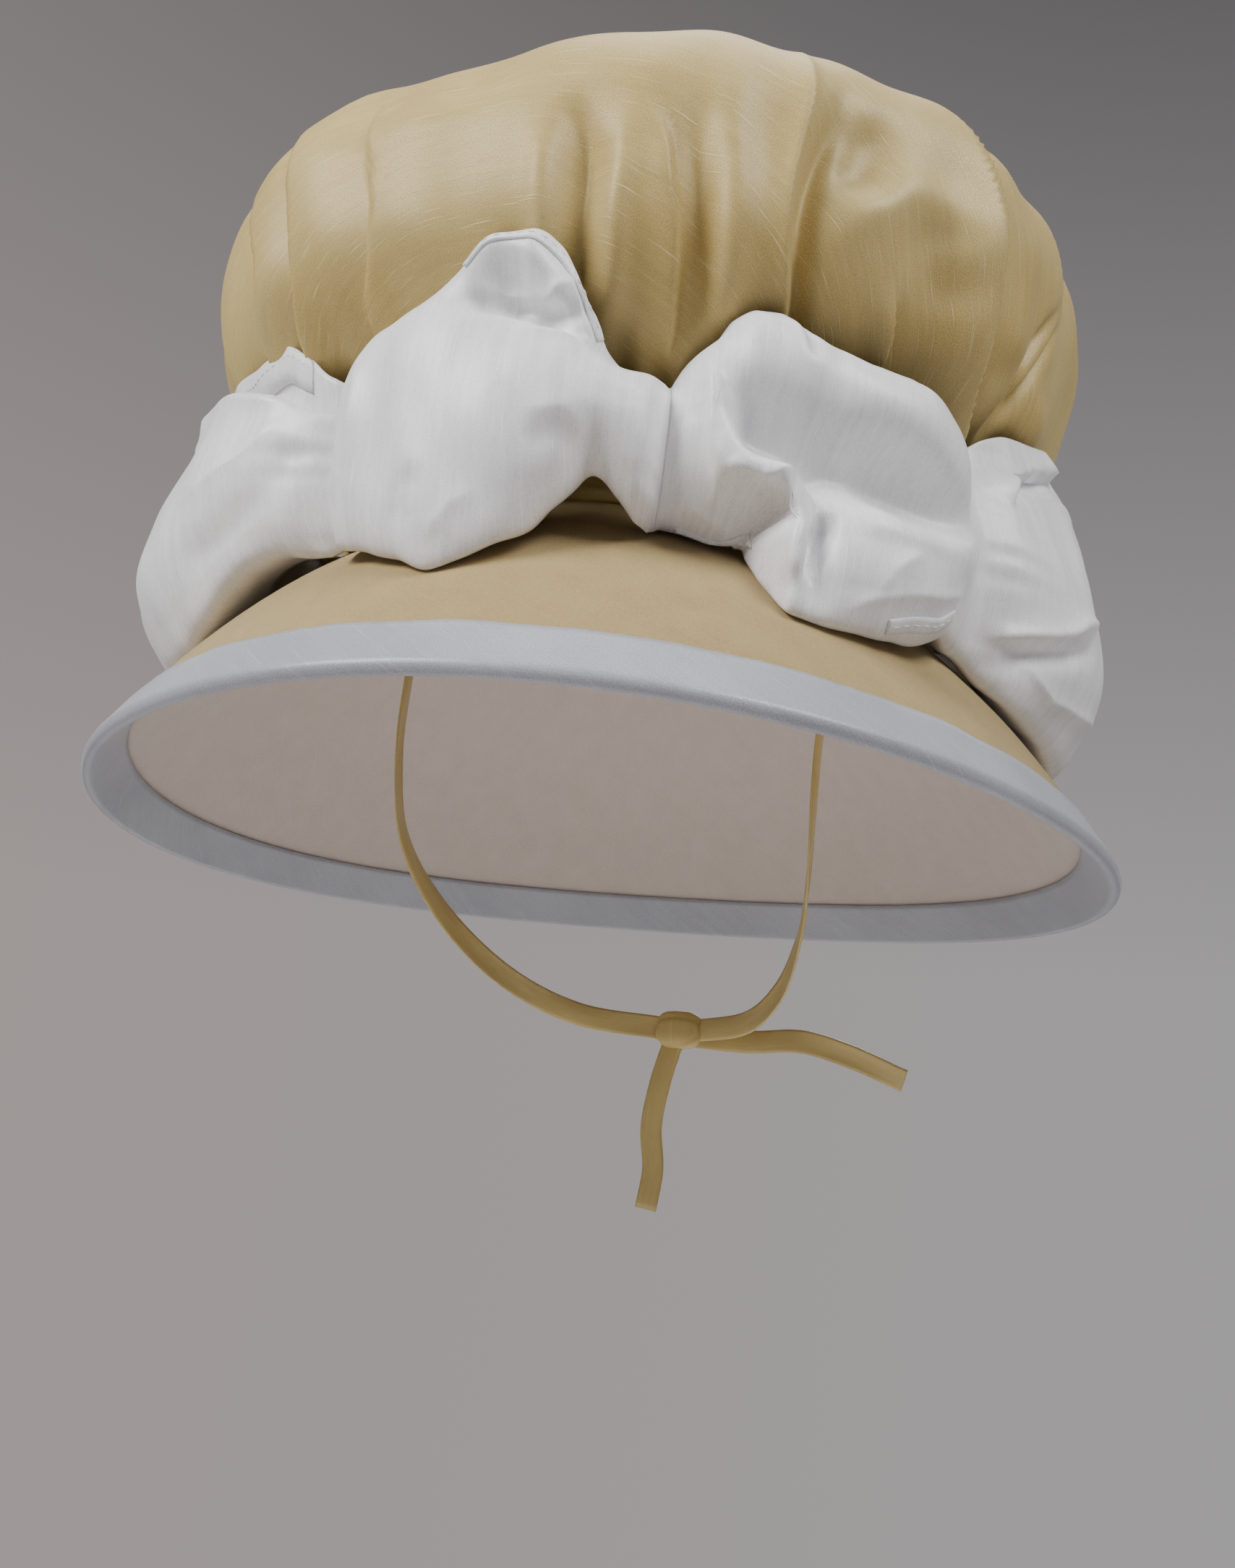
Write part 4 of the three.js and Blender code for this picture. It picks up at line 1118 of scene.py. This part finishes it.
def hem_strip(path, read):
    """A flat strip carried along a hem's path: its places across lie on the sash, raised by their
    lifts along the normal, and their backs lie just off it."""
    forward = unit(np.gradient(path, axis=0))
    side = np.stack([-forward[:, 1], forward[:, 0]], axis=1)
    shares, lifts = np.array(HEM_SECTION).T
    surface, normal = read(path[:, None] + side[:, None] * (shares * HEM_WIDTH)[None, :, None])
    return surface + normal * (lifts * HEM_LIFT)[None, :, None]


def hem_stitches(path, read):
    """Running stitches on the middle of a hem, each a six-sided spindle, tapered at both ends: four
    rings round the stitch's own line."""
    length = arc_of(path)
    at = np.arange(4, length[-1] - 3, STITCH_STEP)
    middle, ahead = (np.stack([np.interp(at + more, length, path[:, k]) for k in (0, 1)], axis=1)
                     for more in (0, 1.5))
    here, up = read(middle)
    up = unit(up)
    along = square_to(read(ahead)[0] - here, up)
    turn = np.radians(np.arange(0, 360, 60))
    ring = np.cross(up, along)[:, None] * np.cos(turn)[None, :, None] \
        + up[:, None] * np.sin(turn)[None, :, None]
    places, radii = np.array(STITCH_SECTION).T
    return (here + up * HEM_LIFT)[:, None, None] \
        + along[:, None, None] * (places * STITCH_LENGTH)[None, :, None, None] \
        + ring[:, None] * (radii * STITCH_WIDTH / 2)[None, :, None, None]


def make_hems(name, points, angle, z):
    """The turned hems of a length of sash and their stitches, as two pieces."""
    normal = outward(points, closed=False)
    strips, stitches, strip_faces, stitch_faces = [], [], [], []
    start = 0
    for hem in HEMS[name]:
        path, size = hem_path(points, angle, z, hem)

        def read(place):
            row, col = place[..., 0] / size[0], place[..., 1] / size[1]
            return read_grid(points, row, col), read_grid(normal, row, col)

        strip = hem_strip(path, read)
        strips.append(strip.reshape(-1, 3))
        strip_faces += capped_faces(*strip.shape[:2], start)
        start += len(strips[-1])
        stitches.append(hem_stitches(path, read))
    stitches = np.concatenate(stitches)
    rings, corners = stitches.shape[1:3]
    for k in range(len(stitches)):
        stitch_faces += capped_faces(rings, corners, rings * corners * k)
    made = []
    for word, verts, faces, scale in (("hems", np.concatenate(strips), strip_faces, 1.0),
                                      ("stitches", stitches.reshape(-1, 3), stitch_faces, 0.3)):
        loops = np.concatenate([np.array(f) for f in faces])
        uv = np.stack([np.arctan2(verts[:, 0], -verts[:, 1]) * SASH_RADIUS, verts[:, 2] * scale],
                      axis=1)
        made.append(add_mesh(name.replace("cloth", word), verts, faces, uv[loops], white_silk,
                             "sash_silk"))
    return made


def make_sash():
    """The sash in three lengths that meet in the pinches, each a sheet with its wall. Its UV is the
    length round its middle row and the length up each column, which is the height on that row."""
    sections = SASH_SECTIONS + rear_sections()
    for name, start, end, columns, rows in SASH_PIECES:
        points, angle, z = sash_surface(sections, start, end, columns, rows)
        around = arc_of(points, axis=1)[rows // 2]
        up = arc_of(points)
        up = up + points[:1, :, 2] - up[rows // 2]
        piece = add_grid(name, points, uv_grid(around, up), white_silk, "sash_silk", closed=False)
        thicken(piece, SASH_WALL)
        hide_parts("sash")
        make_hems(name, points, angle, z)


# Ties

def make_ribbon(name, route):
    """A flat ribbon: a slightly cupped section carried along the smooth curve through its route,
    its face turned away from the bonnet's axis. The cup is the square of the place across it, and
    comes and goes with the sine of the length. Gives the ribbon and its length in metres."""
    path = smooth_path(route, 3.0)
    forward = unit(np.gradient(path, axis=0))
    away = square_to(path * [1, 1, 0], forward)
    across = np.cross(away, forward)
    length = arc_of(path)
    side = np.linspace(-1, 1, 9)
    side = np.concatenate([side, side[::-1]])
    level = np.repeat([0.5, -0.5], 9) * TIE_WALL
    bend = TIE_CUP * (side[None, :] ** 2 - 0.35) * np.sin(length / TIE_CUP_LENGTH)[:, None]
    points = path[:, None] + across[:, None] * (side * TIE_WIDTH / 2)[None, :, None] \
        + away[:, None] * (level[None, :] + bend)[..., None]
    round_side = sums(np.abs(np.diff(np.append(side, -1)))) * TIE_WIDTH / 2
    uv = uv_grid(round_side, length[:, None])
    return add_capped(name, points, uv, tie_silk, "tie_silk", flip=True), length[-1] * MM


def make_knot():
    """The knot: a box-like ball, whose sines and cosines are raised to a power below one, with two
    slanting grooves where the ribbon wraps it."""
    turn = np.linspace(0, 2 * np.pi, 48, endpoint=False)
    lift = np.linspace(-np.pi / 2, np.pi / 2, 26)[1:-1]
    u, v = np.meshgrid(turn, lift)
    boxed = lambda wave: np.sign(wave) * np.abs(wave) ** 0.72
    wrap = 1 - 0.10 * bell(np.sin(v) + 0.45 * np.sin(u) - 0.1, 0.16) \
        - 0.05 * bell(np.sin(v) - 0.7 * np.sin(u + 0.6) + 0.2, 0.1)
    ball = np.stack([boxed(np.cos(v)) * boxed(np.cos(u)), boxed(np.cos(v)) * boxed(np.sin(u)),
                     boxed(np.sin(v))], axis=-1)
    points = ball * wrap[..., None] * (np.array(KNOT_SIZE) / 2) * KNOT_FULLNESS
    uv = uv_grid(np.linspace(0, 60, 49), np.linspace(0, 30, 24)[:, None])
    knot = add_capped("tie_knot_cloth", points + np.array(KNOT_CENTRE), uv, tie_silk, "tie_silk")
    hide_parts("tie_knot")
    return knot


def make_ties():
    """The two ties, the knot at the nape and the two free ends."""
    knot = make_knot()
    for node, route, extra in (("tie_right", TIE_RIGHT, []), ("tie_left", TIE_LEFT, [knot]),
                               ("tie_end_left", TIE_END_LEFT, []),
                               ("tie_end_right", TIE_END_RIGHT, [])):
        piece, length = make_ribbon(node + "_cloth", route)
        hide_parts(node)


# Studio

CAMERA_AZIMUTH = 16.4
CAMERA_ELEVATION = -15.3
CAMERA_ROLL = 6.4
CAMERA_DISTANCE = 714
CAMERA_CENTRE = (-10, -35)
CAMERA_DROP = 130
FOCAL_PIXELS = 2000
PICTURE_HEIGHT = 2169
SENSOR = 36
CLIP_START, CLIP_END = 0.01, 100

FLOOR_HEIGHT = -950
FLOOR_RADIUS = 1900
FLOOR_CORNERS = 96

# Lights: name, place and target in metres, diameter, power and colour
LIGHTS = [
    ("key", (-0.95, -1.3, 1.0), (0, 0, 0.02), 0.95, 44, (1, 1, 1)),
    ("fill", (1.3, -0.85, 1.4), (0, 0, 0), 1.0, 38, (0.97, 0.98, 1.0)),
    ("rear", (-0.2, 1.7, 0.8), (0, 0, 0), 0.9, 26, (1, 1, 1)),
    ("top", (0.0, 0.1, 1.9), (0, 0, 0.1), 1.2, 14, (1, 1, 1)),
]


def put_in_scene(name, data, right, up, back, place):
    """A new camera or light at a place in metres, turned to three axes: its matrix has them and the
    place as its columns."""
    thing = bpy.data.objects.new(name, data)
    matrix = np.eye(4)
    matrix[:3] = np.stack([right, up, back, place], axis=1)
    thing.matrix_world = Matrix(matrix.tolist())
    bpy.context.scene.collection.objects.link(thing)
    return thing


def make_camera():
    """The camera at the photograph's angle: behind a point of the brim by its distance, turned by
    azimuth, elevation and roll."""
    az, el, roll = (math.radians(v) for v in (CAMERA_AZIMUTH, CAMERA_ELEVATION, CAMERA_ROLL))
    back = np.array([math.sin(az) * math.cos(el), -math.cos(az) * math.cos(el), math.sin(el)])
    level = np.array([math.cos(az), math.sin(az), 0])
    upright = np.cross(back, level)
    right = math.cos(roll) * level + math.sin(roll) * upright
    up = -math.sin(roll) * level + math.cos(roll) * upright
    place = back * CAMERA_DISTANCE - right * CAMERA_CENTRE[0] - up * CAMERA_CENTRE[1] \
        - np.array([0, 0, CAMERA_DROP])
    data = bpy.data.cameras.new("camera")
    data.lens = SENSOR * FOCAL_PIXELS / PICTURE_HEIGHT
    data.sensor_width = SENSOR
    data.clip_start, data.clip_end = CLIP_START, CLIP_END
    bpy.context.scene.camera = put_in_scene("camera", data, right, up, back, place * MM)


def make_light(name, place, target, size, power, colour):
    """A round soft light at a place that faces a target."""
    data = bpy.data.lights.new(name, "AREA")
    data.shape = "DISK"
    data.size = size
    data.energy = power
    data.color = colour
    back = unit(np.array(place, float) - np.array(target, float))
    right = unit(np.cross([0, 0, 1], back))
    put_in_scene(name, data, right, np.cross(back, right), back, place)


def make_floor():
    """A pale round floor well below the bonnet."""
    paint, tree, shader = tree_of("floor_paint")
    place = tree.nodes.new("ShaderNodeTexCoord").outputs["Object"]
    grain = stretched_noise(tree, place, (3, 3, 3), 3.0)
    tone = blend_colours(tree, grain, linear(214, 212, 212), linear(222, 220, 220))
    tree.links.new(tone, shader.inputs["Base Color"])
    set_sockets(shader, Roughness=0.9)
    angles = np.linspace(0, 360, FLOOR_CORNERS, endpoint=False)
    floor = add_mesh("floor", ellipse(angles, FLOOR_RADIUS, FLOOR_RADIUS, FLOOR_HEIGHT),
                     [list(range(FLOOR_CORNERS))], np.zeros((FLOOR_CORNERS, 2)), paint)


def make_surround():
    """A soft grey surround: warm and paler low on one side, cooler and darker high on the other.
    The camera sees it as a backdrop, and it lights the bonnet evenly and faintly."""
    world = bpy.data.worlds.new("surround")
    bpy.context.scene.world = world
    world.use_nodes = True
    tree = world.node_tree
    ground = tree.nodes["Background"]
    way = tree.nodes.new("ShaderNodeTexCoord").outputs["Generated"]
    parts = tree.nodes.new("ShaderNodeSeparateXYZ")
    tree.links.new(way, parts.inputs["Vector"])
    side = remap(tree, parts.outputs["X"], -0.75, 0.4)
    low = blend_colours(tree, side, linear(196, 183, 181), linear(197, 197, 199))
    high = blend_colours(tree, side, linear(146, 141, 140), linear(98, 96, 100))
    tone = blend_colours(tree, remap(tree, parts.outputs["Z"], 0.15, 0.72), low, high)
    seen = tree.nodes.new("ShaderNodeLightPath").outputs["Is Camera Ray"]
    tree.links.new(blend_colours(tree, seen, linear(118, 115, 117), tone), ground.inputs["Color"])
    set_sockets(ground, Strength=0.7)


make_brim()
make_binding()
make_base_band()
make_crown()
make_sash()
make_ties()
make_camera()
make_floor()
make_surround()
for light in LIGHTS:
    make_light(*light)
